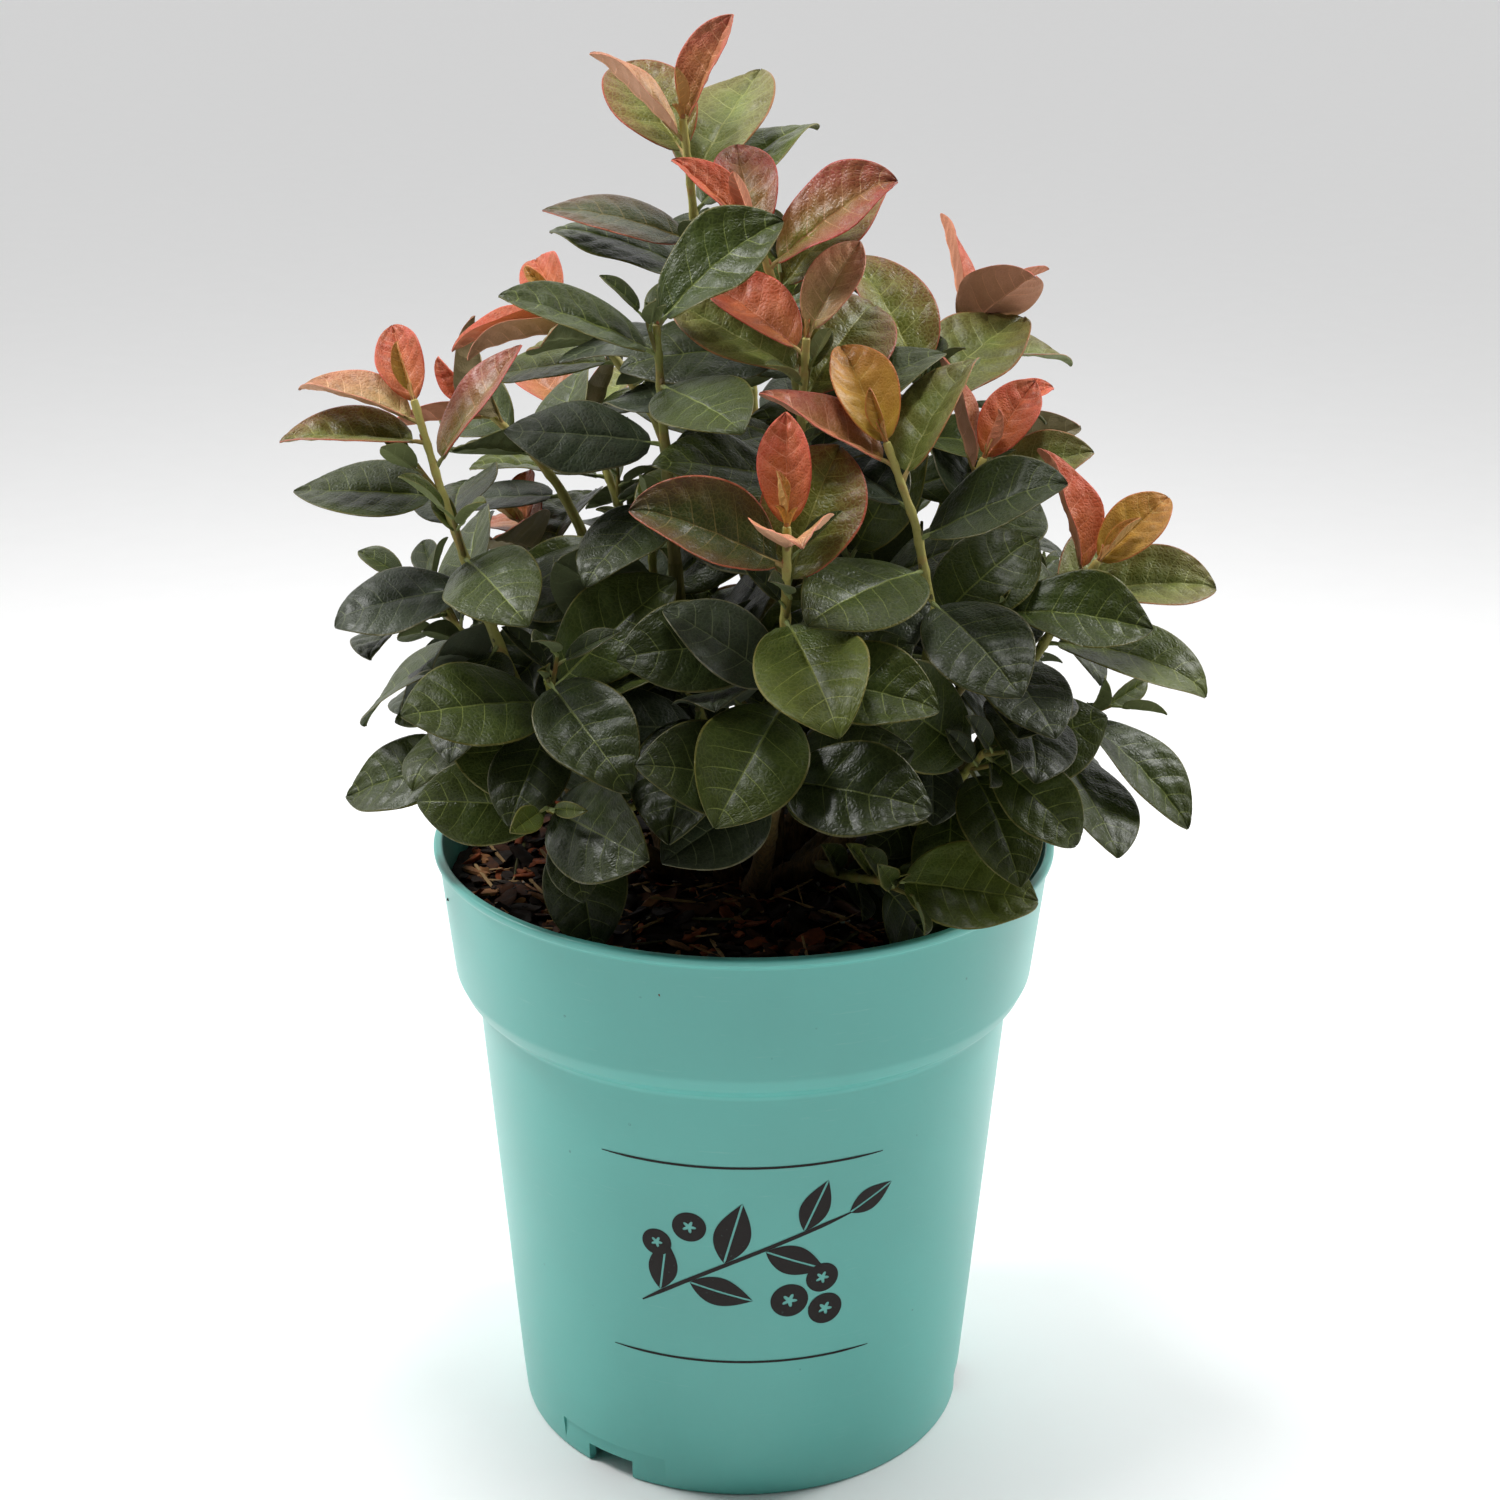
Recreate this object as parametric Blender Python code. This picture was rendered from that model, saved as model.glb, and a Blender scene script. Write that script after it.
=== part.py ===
"""A young blueberry bush in a five litre growing pot, at its real size.

The pot stands on z = 0 with its axis on z. Canes rise from the compost, each cane carries
shoots, and each shoot is one stem with its leaves. x is to the right, y to the back, z up.
"""

import math
import random
from collections import namedtuple

import bpy
import numpy as np
from mathutils import Vector
from mathutils.bvhtree import BVHTree

# Every size below is in millimetres, every angle in degrees; METRE turns sizes into metres.
METRE = 0.001
GAP = 0.3
SEAT = GAP + 0.05

# Pot: the rim, the collar below it, the tapering body, the foot and the raised floor
RIM_RADIUS = 105.0
POT_HEIGHT = 212.0
COLLAR_FOOT_Z = 159.0
COLLAR_FOOT_RADIUS = 98.9
BODY_TOP_RADIUS = 91.4
BODY_FOOT_RADIUS = 79.5
WALL = 1.9
FLOOR = 2.6
ARCH_HEIGHT = 8.5
HUB_RADIUS = 52.0
POT_SIDES = 48

# Drain notches in the foot: bearings in degrees from +x, each in a shallow set-back panel
NOTCH_BEARINGS = (-125, -5, 115)
NOTCH_WIDTH = 19.0
NOTCH_HEIGHT = 7.0
PANEL_HALF_ANGLE = 16.0
PANEL_HEIGHT = 12.0
PANEL_DEPTH = 0.9

# Compost
SOIL_EDGE_Z = 194.0
SOIL_CROWN_Z = 199.0
SOIL_CROWN_RADIUS = 42.0
SOIL_RINGS = (84, 64, SOIL_CROWN_RADIUS, 20)
SOIL_TILT = 3.5
SOIL_BUMP = 1.2
SOIL_WAVE = (9.0, 11.0)

# Canes: where each stands on the compost, and where its tip is, in millimetres
Cane = namedtuple("Cane", "name foot tip bow")
CANES = (
    Cane("cane_leader", (-5, 9), (-13, 14, 345), 4),
    Cane("cane_second", (8, 2), (18, -20, 335), 5),
    Cane("cane_left_high", (-15, 12), (-20, 22, 308), 6),
    Cane("cane_left", (-20, -7), (-66, -38, 262), 12),
    Cane("cane_left_back", (-24, 5), (-52, 40, 290), 10),
    Cane("cane_centre", (-5, -9), (-22, -38, 318), 8),
    Cane("cane_front", (4, -20), (11, -74, 282), 12),
    Cane("cane_right_centre", (14, -11), (52, -54, 268), 12),
    Cane("cane_right_bud", (20, -1), (58, -16, 288), 10),
    Cane("cane_right", (25, -11), (78, -38, 262), 12),
    Cane("cane_right_high", (14, 15), (50, 28, 318), 8),
    Cane("cane_back", (2, 24), (4, 66, 300), 10),
    Cane("cane_back_right", (22, 22), (56, 58, 270), 10),
    Cane("cane_back_left", (-13, 27), (-38, 68, 278), 10),
)
CANE_FOOT_RADIUS = 3.6
CANE_TIP_RADIUS = 2.3
CANE_FLARE = 1.5
CANE_SIDES = 6
CANE_RINGS = 6

# Shoots that grow from a cane: along is 1 at the cane's tip. turns are the bearings of the
# leaves about the stem from the tip down; the spiral goes on from the last one. youth is 1
# where the tip is in new red growth and 0 where every leaf is grown. close is how much of
# the usual step down the stem lies between two leaves.
Shoot = namedtuple("Shoot", "name cane along tip leaves turns youth size close", defaults=(1.0,))
SHOOTS = (
    Shoot("shoot_second", "cane_second", 1.0, (2, -28, 420),
          8, (270, 165, 85, 350, 20, 60, 200, 120), 1.0, 1.0),
    Shoot("shoot_leader", "cane_leader", 1.0, (-20, 0, 449),
          10, (200, 20, 190, 120, 60, 30, 180, 170, 90, 210), 1.0, 1.0),
    Shoot("shoot_right_centre", "cane_right_centre", 1.0, (42, -62, 362),
          10, (70, 100, 180, 20, 125, 340, 230, 300, 30, 180), 1.0, 1.0),
    Shoot("shoot_front", "cane_front", 1.0, (12, -92, 344),
          8, (180, 90, 275, 190, 50, 285, 200, 20), 1.0, 1.0),
    Shoot("shoot_third", "cane_second", 0.9, (18, -46, 390),
          7, (60, 130, 150, 60, 20, 320, 200), 0.7, 0.95),
    Shoot("shoot_left_high", "cane_left_high", 1.0, (-62, 35, 386),
          8, (100, 90, 185, 200, 260, 170, 320), 1.0, 0.9),
    Shoot("shoot_left", "cane_left", 1.0, (-102, -35, 368),
          11, (45, 100, 170, 185, 10, 175, 90, 290, 190, 20, 245), 1.0, 1.0),
    Shoot("shoot_left_back", "cane_left_back", 1.0, (-89, 50, 346),
          7, (60, 200), 0.9, 0.9),
    Shoot("shoot_centre", "cane_centre", 1.0, (-27, -46, 394),
          8, (20, 190, 300, 100, 185, 10, 235, 330), 0.15, 0.95),
    Shoot("shoot_right_bud", "cane_right_bud", 1.0, (75, -20, 347),
          7, (200, 60, 180, 0, 90, 270), 1.0, 0.9),
    Shoot("shoot_right", "cane_right", 1.0, (109, -46, 321),
          9, (20, 45, 160, 5, 70, 345, 200, 280), 1.0, 1.0),
    Shoot("shoot_right_high", "cane_right_high", 1.0, (76, 45, 384),
          7, (90, 20, 170, 280, 10, 200), 1.0, 0.9),
    Shoot("shoot_back", "cane_back", 1.0, (0, 80, 372),
          8, (60,), 0.9, 1.0),
    Shoot("shoot_back_right", "cane_back_right", 1.0, (82, 82, 330),
          8, (30,), 0.8, 1.0),
    Shoot("shoot_back_left", "cane_back_left", 1.0, (-58, 88, 335),
          9, (130,), 0.6, 1.0),
    Shoot("shoot_upper_right", "cane_right_high", 0.8, (56, -2, 368),
          6, (135, 60, 330, 200, 20), 0.3, 1.05),
    Shoot("shoot_low_left", "cane_left", 0.45, (-88, -34, 250),
          7, (180, 250, 330, 120), 0.0, 0.95),
    Shoot("shoot_low_front_left", "cane_centre", 0.3, (-46, -62, 236),
          4, (262, 190, 165, 60), 0.0, 0.95),
    Shoot("shoot_low_front", "cane_front", 0.55, (-14, -74, 282),
          6, (255, 190, 320), 0.0, 1.05),
    Shoot("shoot_low_front_right", "cane_right_centre", 0.25, (46, -80, 228),
          6, (345, 215, 285, 20, 120), 0.0, 0.95),
    Shoot("shoot_low_right", "cane_right", 0.6, (108, -22, 262),
          7, (345, 320, 40, 270), 0.0, 1.0),
)

# Fill shoots stand in rings round the crown: height, reach and how many places there are.
# A place too near another tip is passed over, and so is the low front, where compost shows.
FILL_RINGS = (
    (286, 50, 6), (326, 44, 4), (262, 104, 9), (300, 98, 8), (338, 82, 6), (368, 58, 4), (228, 92, 8),
)
FILL_MOST = 25
FILL_CLEAR = 31.0
FILL_LEAVES = 12
FILL_SHARES = (0.2, 0.35, 0.5, 0.65, 0.8, 0.92)
FILL_RISE = 25.0
FILL_STEM = 48.0
FILL_CLOSE = 0.74

# Where the plant stands open low at the front: low and high corners
OPENINGS = (
    ((-100, -125, 180), (-64, -15, 236)),
    ((-34, -125, 180), (8, -15, 246)),
    ((8, -125, 216), (34, -30, 246)),
)
OPEN_FRONT = (195, 335)
OPEN_HEIGHT = 240
GOLDEN = 137.508

# How a shoot changes from its tip down, by the age of the leaf
AGE_LENGTH = ((0, 15), (1, 34), (2, 41), (3, 46), (5, 48), (12, 45))
AGE_WIDTH = ((0, 0.48), (1, 0.60), (2, 0.63), (3, 0.65), (5, 0.67))
AGE_PITCH = ((0, 8), (1, 20), (2, 38), (3, 50), (5, 60), (8, 68), (14, 80))
AGE_STEP = ((0, 2.5), (1, 4), (2, 6), (3, 8.5), (5, 10), (12, 9.5))
AGE_FOLD = ((0, 42), (1, 21), (2, 15), (4, 10), (8, 5))
AGE_CURL = ((0, 10), (2, 24), (4, 10), (8, -14))
AGE_BEND = ((0, -6), (1, 6), (3, 16), (6, 20), (12, 26))
LOWEST_HEADING = -0.62
FRONT_DROOP = 24.0
LEAN_OUT = 0.35
LEAN_FRONT = 0.5
LEAN_SPREAD = 16.0
LEAN_AGE = 3.0
SHOOT_FOOT_RADIUS = 2.1
SHOOT_TIP_RADIUS = 1.0
SHOOT_SIDES = 5
SHOOT_RINGS = 4
TOP_LEAF_DROP = 0.9
LEAST_BARE_STEM = 7.0
STEM_ROOM = 0.4

# Leaves
Leaf = namedtuple("Leaf", "root heading face length width fold curl bend flick twist wave age")
PETIOLE = 4.0
PETIOLE_NECK = 3.2
PETIOLE_RADIUS = 0.85
LEAF_STATIONS = (0.24, 0.66)
LEAF_THICKNESS = 0.012
LEAST_THICKNESS = 0.6
TEST_SWELL = 0.7
# What a leaf tries to find room, mildest first: sizes with turns about the stem, and tilts
TRY_TURNS = (
    (1.0, (0, 14, -14, 28, -28)),
    (0.92, (0, 25, -25, 45, -45, 65, -65)),
    (0.8, (0, 30, -30, 60, -60, 90, -90, 130, -130)),
    (0.66, (0, 40, -40, 80, -80, 120, -120, 180)),
)
TRY_TILTS = (0, -14, 14)
TRIES = [(turn, tilt, scale) for scale, turns in TRY_TURNS for turn in turns for tilt in TRY_TILTS]

COLOURS = {
    "pot": (0.17, 0.50, 0.45),
    "compost": (0.045, 0.022, 0.014),
    "cane": (0.12, 0.10, 0.05),
    "shoot": (0.06, 0.12, 0.03),
}


def by_age(table, age):
    """Reads a table of (age, value) pairs at any age."""
    return float(np.interp(age, [row[0] for row in table], [row[1] for row in table]))


def on_bearing(degrees, radius, z=0.0):
    """A point at a bearing round the pot's axis."""
    angle = math.radians(degrees)
    return Vector((radius * math.cos(angle), radius * math.sin(angle), z))


def compost_height(x, y):
    """The top of the compost at a place, in millimetres: a low mound that tilts a little."""
    radius = math.hypot(x, y)
    edge = min(max((radius - SOIL_CROWN_RADIUS) / (RIM_RADIUS - SOIL_CROWN_RADIUS), 0.0), 1.0)
    bumps = SOIL_BUMP * math.sin(x / SOIL_WAVE[0] + 1.0) * math.cos(y / SOIL_WAVE[1]) * min(edge * 3, 1.0)
    lean = SOIL_TILT * edge * x / RIM_RADIUS
    return SOIL_CROWN_Z + (SOIL_EDGE_Z - SOIL_CROWN_Z) * edge - lean + bumps


def arc_path(start, end, bow, steps):
    """Points from start to end that bow outwards at mid height, as a cane leans out."""
    start, end = Vector(start), Vector(end)
    out = Vector((end.x - start.x, end.y - start.y, 0.0))
    out = out.normalized() if out.length > 1.0 else Vector((1.0, 0.0, 0.0))
    middle = (start + end) / 2 + out * bow - Vector((0, 0, 0.6 * bow))
    points = []
    for k in range(steps + 1):
        t = k / steps
        points.append(start * (1 - t) ** 2 + middle * (2 * t * (1 - t)) + end * t * t)
    return points


def along_path(points, share):
    """The point and direction at a share of a path's length, from 0 to 1."""
    lengths = [0.0]
    for a, b in zip(points, points[1:]):
        lengths.append(lengths[-1] + (b - a).length)
    goal = min(max(share, 0.0), 1.0) * lengths[-1]
    for k in range(len(points) - 1):
        if goal <= lengths[k + 1] or k == len(points) - 2:
            step = points[k + 1] - points[k]
            return points[k] + step * ((goal - lengths[k]) / step.length), step.normalized()


def path_length(points):
    return sum((b - a).length for a, b in zip(points, points[1:]))


def side_of(direction):
    """Two directions square to this one; the first is level where that is possible."""
    across = direction.cross(Vector((0, 0, 1)))
    across = across.normalized() if across.length > 0.05 else Vector((1, 0, 0))
    return across, direction.cross(across).normalized()


def tube(points, radii, sides, foot_way):
    """A closed tube of flat sides along points; foot_way is square to its first end."""
    vertices, faces = [], []
    for k, point in enumerate(points):
        ahead = foot_way if k == 0 else points[min(k + 1, len(points) - 1)] - points[k - 1]
        a, b = side_of(ahead.normalized())
        for j in range(sides):
            angle = 2 * math.pi * j / sides
            vertices.append(point + (a * math.cos(angle) + b * math.sin(angle)) * radii[k])
    for k in range(len(points) - 1):
        for j in range(sides):
            near, far = k * sides, (k + 1) * sides
            nxt = (j + 1) % sides
            faces.append((near + j, near + nxt, far + nxt, far + j))
    faces.append(tuple(reversed(range(sides))))
    top = (len(points) - 1) * sides
    faces.append(tuple(range(top, top + sides)))
    return vertices, faces


def half_width(u):
    """The outline of a leaf: its half width at u, from 0 at the stalk to 1 at the tip."""
    u = np.clip(u, 0.0, 1.0)
    return np.sin(math.pi * u**0.97) ** (0.56 + 0.24 * u**2)


def rib_frames(leaf, u):
    """Points on the rib at u, with the heading and the face direction there."""
    fine = np.linspace(0.0, 1.0, 41)
    turn = leaf.bend * fine + leaf.flick * np.clip((fine - 0.72) / 0.28, 0, 1) ** 2
    heading, face = np.array(leaf.heading), np.array(leaf.face)
    ahead = np.cos(turn)[:, None] * heading - np.sin(turn)[:, None] * face
    steps = (ahead[1:] + ahead[:-1]) / 2 * (leaf.length / 40)
    start = np.array(leaf.root) + heading * PETIOLE
    rib = start + np.vstack([np.zeros(3), np.cumsum(steps, axis=0)])
    at = np.array([[np.interp(x, fine, rib[:, axis]) for axis in range(3)] for x in u])
    turn_at = np.interp(u, fine, turn)
    ahead_at = np.cos(turn_at)[:, None] * heading - np.sin(turn_at)[:, None] * face
    face_at = np.sin(turn_at)[:, None] * heading + np.cos(turn_at)[:, None] * face
    side_at = np.cross(ahead_at, face_at)
    twist = leaf.twist * u[:, None]
    up = face_at * np.cos(twist) + side_at * np.sin(twist)
    return at, up, np.cross(ahead_at, up)


def blade(leaf, u, v):
    """Points of the blade at each u along the rib and each v from edge to edge, -1 to 1."""
    u, v = np.asarray(u, float), np.asarray(v, float)
    at, up, side = rib_frames(leaf, u)
    width = (leaf.width / 2 * half_width(u))[:, None]
    curl = leaf.curl if abs(leaf.curl) > 1e-3 else 1e-3
    reach = np.abs(v)[None, :]
    level = width * (np.sin(leaf.fold + curl * reach) - math.sin(leaf.fold)) / curl
    rise = width * (math.cos(leaf.fold) - np.cos(leaf.fold + curl * reach)) / curl
    ripple = leaf.wave * width * reach**2 * np.sin(9.0 * u[:, None] + 2.2 * np.sign(v)[None, :] + leaf.age)
    return (
        at[:, None, :]
        + side[:, None, :] * (level * np.sign(v)[None, :])[..., None]
        + up[:, None, :] * (rise + ripple)[..., None]
    )


def leaf_solid(leaf, swell=0.0):
    """A leaf as a closed thin solid: stalk, blade folded on its rib, and tip."""
    root, heading, face = Vector(leaf.root), Vector(leaf.heading), Vector(leaf.face)
    side = heading.cross(face)
    neck = root + heading * PETIOLE_NECK
    vertices = [root]
    stalk = PETIOLE_RADIUS + swell / 2
    vertices += [neck - side * stalk, neck + face * stalk, neck + side * stalk, neck - face * stalk]
    stations = np.array(LEAF_STATIONS)
    grid = blade(leaf, stations, (-1.0, 0.0, 1.0))
    _, up, across = rib_frames(leaf, stations)
    thick = max(LEAF_THICKNESS * leaf.length, LEAST_THICKNESS) / 2 + swell
    for k in range(len(stations)):
        lift = Vector(up[k]) * thick
        wide = Vector(across[k]) * swell
        left, middle, right = (Vector(point) for point in grid[k])
        vertices += [left - wide, middle + lift, right + wide, middle - lift]
    tip = Vector(blade(leaf, [1.0], [0.0])[0, 0])
    vertices.append(tip + (tip - vertices[-3]).normalized() * swell)
    faces = [(0, 1 + (j + 1) % 4, 1 + j) for j in range(4)]
    for k in range(len(stations)):
        for j in range(4):
            a, b = 1 + 4 * k + j, 1 + 4 * k + (j + 1) % 4
            if j % 2:
                faces += [(a, b, a + 4), (b, b + 4, a + 4)]
            else:
                faces += [(a, b + 4, a + 4), (a, b, b + 4)]
    last, end = 1 + 4 * len(stations), len(vertices) - 1
    faces += [(last + j, last + (j + 1) % 4, end) for j in range(4)]
    return vertices, faces


class Crowd:
    """What has been placed so far, so that nothing new runs into it."""

    def __init__(self):
        self.members = []

    def add(self, owner, vertices, faces):
        tree = BVHTree.FromPolygons(vertices, faces)
        self.members.append((owner, box_of(vertices), tree))

    def meets(self, vertices, faces, but=()):
        """Whether a shape crosses anything here, apart from what the named owners placed."""
        low, high = box_of(vertices)
        tree = BVHTree.FromPolygons(vertices, faces)
        for owner, (a, b), other in self.members:
            apart = any(low[k] > b[k] or high[k] < a[k] for k in range(3))
            if owner not in but and not apart and tree.overlap(other):
                return True
        return False


def box_of(vertices):
    table = np.array([tuple(v) for v in vertices])
    return table.min(axis=0), table.max(axis=0)


def in_opening(vertices):
    """Whether any of these points is where the plant stands open."""
    return any(
        all(a < c < b for a, c, b in zip(low, vertex, high)) for vertex in vertices for low, high in OPENINGS
    )


def cane_path(cane):
    x, y = cane.foot
    return arc_path((x, y, SOIL_CROWN_Z + GAP), cane.tip, cane.bow, CANE_RINGS)


def cane_radii():
    """From a flared foot to the tip."""
    radii = []
    for k in range(CANE_RINGS + 1):
        flare = CANE_FLARE if k == 0 else 1.0
        radii.append((CANE_FOOT_RADIUS + (CANE_TIP_RADIUS - CANE_FOOT_RADIUS) * k / CANE_RINGS) * flare)
    return radii


def shoot_path(shoot, canes):
    """The stem of a shoot from just clear of its cane to its tip, and its foot's direction."""
    start, way = along_path(cane_path(canes[shoot.cane]), shoot.along)
    tip = Vector(shoot.tip)
    reach = (tip - start).length
    if shoot.along >= 1.0:
        foot_way, first = way, way
        start = start + way * SEAT
    else:
        out = tip - start
        foot_way = (out - way * out.dot(way)).normalized()
        radius = CANE_FOOT_RADIUS + (CANE_TIP_RADIUS - CANE_FOOT_RADIUS) * shoot.along
        start = start + foot_way * (radius + SEAT)
        first = foot_way * 0.6 + way * 0.8
    middle = start + first * reach * 0.5
    points = []
    for k in range(SHOOT_RINGS + 1):
        t = k / SHOOT_RINGS
        points.append(start * (1 - t) ** 2 + middle * (2 * t * (1 - t)) + tip * t * t)
    return points, foot_way


def shoot_radii():
    return [
        SHOOT_FOOT_RADIUS + (SHOOT_TIP_RADIUS - SHOOT_FOOT_RADIUS) * k / SHOOT_RINGS
        for k in range(SHOOT_RINGS + 1)
    ]


def nearest_foot(tip, canes, found):
    """The cane and the share of its length from which a shoot best reaches a tip."""
    best = None
    for cane in canes.values():
        path = cane_path(cane)
        for share in FILL_SHARES:
            foot = along_path(path, share)[0]
            cost = abs((tip - foot).length - FILL_STEM) + 2.5 * max(0.0, foot.z + FILL_RISE - tip.z)
            taken = any(s.cane == cane.name and abs(s.along - share) < 0.1 for s in found)
            if not taken and (best is None or cost < best[0]):
                best = (cost, cane.name, share)
    return best[1:]


def fill_shoots(canes):
    """The shoots that fill the crown all round, each on the cane that passes nearest."""
    placed = [Vector(shoot.tip) for shoot in SHOOTS]
    found = []
    for row, (height, reach, count) in enumerate(FILL_RINGS):
        for j in range(count):
            bearing = (GOLDEN * row + 360.0 * j / count) % 360.0
            tip = on_bearing(bearing, reach, height + 9.0 * math.sin(5.0 * j + row))
            in_front = OPEN_FRONT[0] < bearing < OPEN_FRONT[1] and tip.z < OPEN_HEIGHT
            near = min((tip - other).length for other in placed) < FILL_CLEAR
            if in_front or near or len(found) == FILL_MOST:
                continue
            placed.append(tip)
            name = f"shoot_fill_{len(found) + 1:02d}"
            youth = 0.9 if len(found) % 3 == 1 and tip.y > 0 and height > 250 else 0.0
            cane, share = nearest_foot(tip, canes, found)
            turns = (bearing + 60,)
            found.append(Shoot(name, cane, share, tuple(tip), FILL_LEAVES, turns, youth, 0.95, FILL_CLOSE))
    return found


def leaf_on(dice, point, way, bearing, age, size, pitch_more):
    """One leaf of a shoot: how it stands, and its shape at that age."""
    a, b = side_of(way)
    turn = math.radians(bearing)
    level = Vector((math.cos(turn), math.sin(turn), 0.0))
    out = level - way * level.dot(way)
    out = out.normalized() if out.length > 0.2 else (a * math.cos(turn) + b * math.sin(turn))
    droop = FRONT_DROOP * max(0.0, -out.y) * min(age / 5, 1.0)
    pitch = math.radians(by_age(AGE_PITCH, age) + dice["pitch"] + pitch_more + droop)
    heading = way * math.cos(pitch) + out * math.sin(pitch)
    heading.z = max(heading.z, LOWEST_HEADING)
    heading = heading.normalized()
    face = way * math.sin(pitch) - out * math.cos(pitch)
    lean = Vector((point.x, point.y, 0.0)) * (LEAN_OUT / RIM_RADIUS) - Vector((0, LEAN_FRONT, 0))
    lean = lean * min(age / LEAN_AGE, 1.0) * (1.0 + dice["pitch"] / LEAN_SPREAD)
    face = face + lean + Vector((0, 0, min(age / 8, 0.7)))
    face = (face - heading * face.dot(heading)).normalized()
    length = by_age(AGE_LENGTH, age) * size * dice["length"]
    return Leaf(
        root=tuple(point),
        heading=tuple(heading),
        face=tuple(face),
        length=length,
        width=length * by_age(AGE_WIDTH, age) * dice["width"],
        fold=math.radians(by_age(AGE_FOLD, age)),
        curl=math.radians(by_age(AGE_CURL, age) + dice["curl"]),
        bend=math.radians(by_age(AGE_BEND, age) + dice["bend"]),
        flick=math.radians(dice["flick"]),
        twist=math.radians(dice["twist"]),
        wave=dice["wave"],
        age=age,
    )


def leaf_dice(chance):
    """What chance decides for one leaf, always drawn in this order."""
    return {
        "pitch": chance.uniform(-8, 8),
        "length": chance.uniform(0.9, 1.08),
        "width": chance.uniform(0.92, 1.1),
        "curl": chance.uniform(-10, 10),
        "bend": chance.uniform(-12, 16),
        "flick": chance.uniform(-10, 45),
        "twist": chance.uniform(-22, 22),
        "wave": chance.uniform(0.0, 0.09),
    }


def grow_leaves(shoot, path, crowd):
    """Leaves down a stem by the rule of age, each turned or left out where it meets anything."""
    chance = random.Random(shoot.name)
    total = path_length(path)
    own, placed, leaves, down = Crowd(), [], [], TOP_LEAF_DROP
    for k in range(shoot.leaves):
        age = k + (1.0 - shoot.youth) * 4.5
        turns = shoot.turns
        bearing = turns[k] if k < len(turns) else turns[-1] + GOLDEN * (k - len(turns) + 1)
        dice = leaf_dice(chance)
        if down > total - LEAST_BARE_STEM:
            break
        point, way = along_path(path, 1.0 - down / total)
        down += by_age(AGE_STEP, age) * shoot.size * shoot.close
        for turned_by, tipped, scale in TRIES:
            leaf = leaf_on(dice, point, way, bearing + turned_by, age, shoot.size * scale, tipped)
            vertices, faces = leaf_solid(leaf, TEST_SWELL)
            if in_opening(vertices):
                continue
            past_root = [face for face in faces if 0 not in face]
            if not own.meets(vertices, past_root) and not crowd.meets(vertices, faces, but=(shoot.name,)):
                own.add(shoot.name, vertices, past_root)
                placed.append((vertices, faces))
                leaves.append(leaf)
                break
    for vertices, faces in placed:
        crowd.add(shoot.name, vertices, faces)
    return leaves


def grow(pot_shape, compost_shape):
    """The whole plant: every shoot that has room, with its stem and leaves."""
    canes = {cane.name: cane for cane in CANES}
    crowd = Crowd()
    crowd.add("pot", *pot_shape)
    crowd.add("compost", *compost_shape)
    for cane in CANES:
        path = cane_path(cane)
        lifted = [path[0] + Vector((0, 0, 1))] + path[1:]
        radii = [radius + STEM_ROOM for radius in cane_radii()]
        crowd.add(cane.name, *tube(lifted, radii, CANE_SIDES, Vector((0, 0, 1))))
    stems = []
    for shoot in list(SHOOTS) + fill_shoots(canes):
        path, foot_way = shoot_path(shoot, canes)
        radii = [radius + STEM_ROOM for radius in shoot_radii()]
        stem = tube(path, radii, SHOOT_SIDES, foot_way)
        if crowd.meets(*stem, but=(shoot.cane,)):
            continue
        crowd.add(shoot.name, *stem)
        stems.append((shoot, path, foot_way))
    return [(shoot, path, foot_way, grow_leaves(shoot, path, crowd)) for shoot, path, foot_way in stems]


def material(name):
    """A plain surface in the part's own colour."""
    made = bpy.data.materials.get(name) or bpy.data.materials.new(name)
    made.use_nodes = True
    shader = made.node_tree.nodes["Principled BSDF"]
    shader.inputs["Base Color"].default_value = (*COLOURS[name], 1.0)
    shader.inputs["Roughness"].default_value = 0.5
    shader.inputs["Metallic"].default_value = 0.0
    return made


def add_object(name, vertices, faces, look, smooth=False):
    """An object from millimetre points."""
    mesh = bpy.data.meshes.new(name)
    mesh.from_pydata([tuple(c * METRE for c in v) for v in vertices], [], faces)
    mesh.materials.append(material(look))
    if smooth:
        mesh.shade_smooth()
        mesh.set_sharp_from_angle(angle=math.radians(40))
    made = bpy.data.objects.new(name, mesh)
    bpy.context.scene.collection.objects.link(made)
    return made


def turned(profile, sides):
    """A profile of (radius, z) turned about z, closed on the axis at both ends."""
    vertices, faces, rings = [], [], []
    for radius, z in profile:
        if radius == 0:
            rings.append([len(vertices)] * sides)
            vertices.append(Vector((0, 0, z)))
            continue
        rings.append(list(range(len(vertices), len(vertices) + sides)))
        vertices += [on_bearing(360.0 * j / sides, radius, z) for j in range(sides)]
    for lower, upper in zip(rings, rings[1:]):
        for j in range(sides):
            nxt = (j + 1) % sides
            corners = [lower[j], lower[nxt], upper[nxt], upper[j]]
            faces.append(tuple(dict.fromkeys(corners)))
    return vertices, faces


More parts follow.
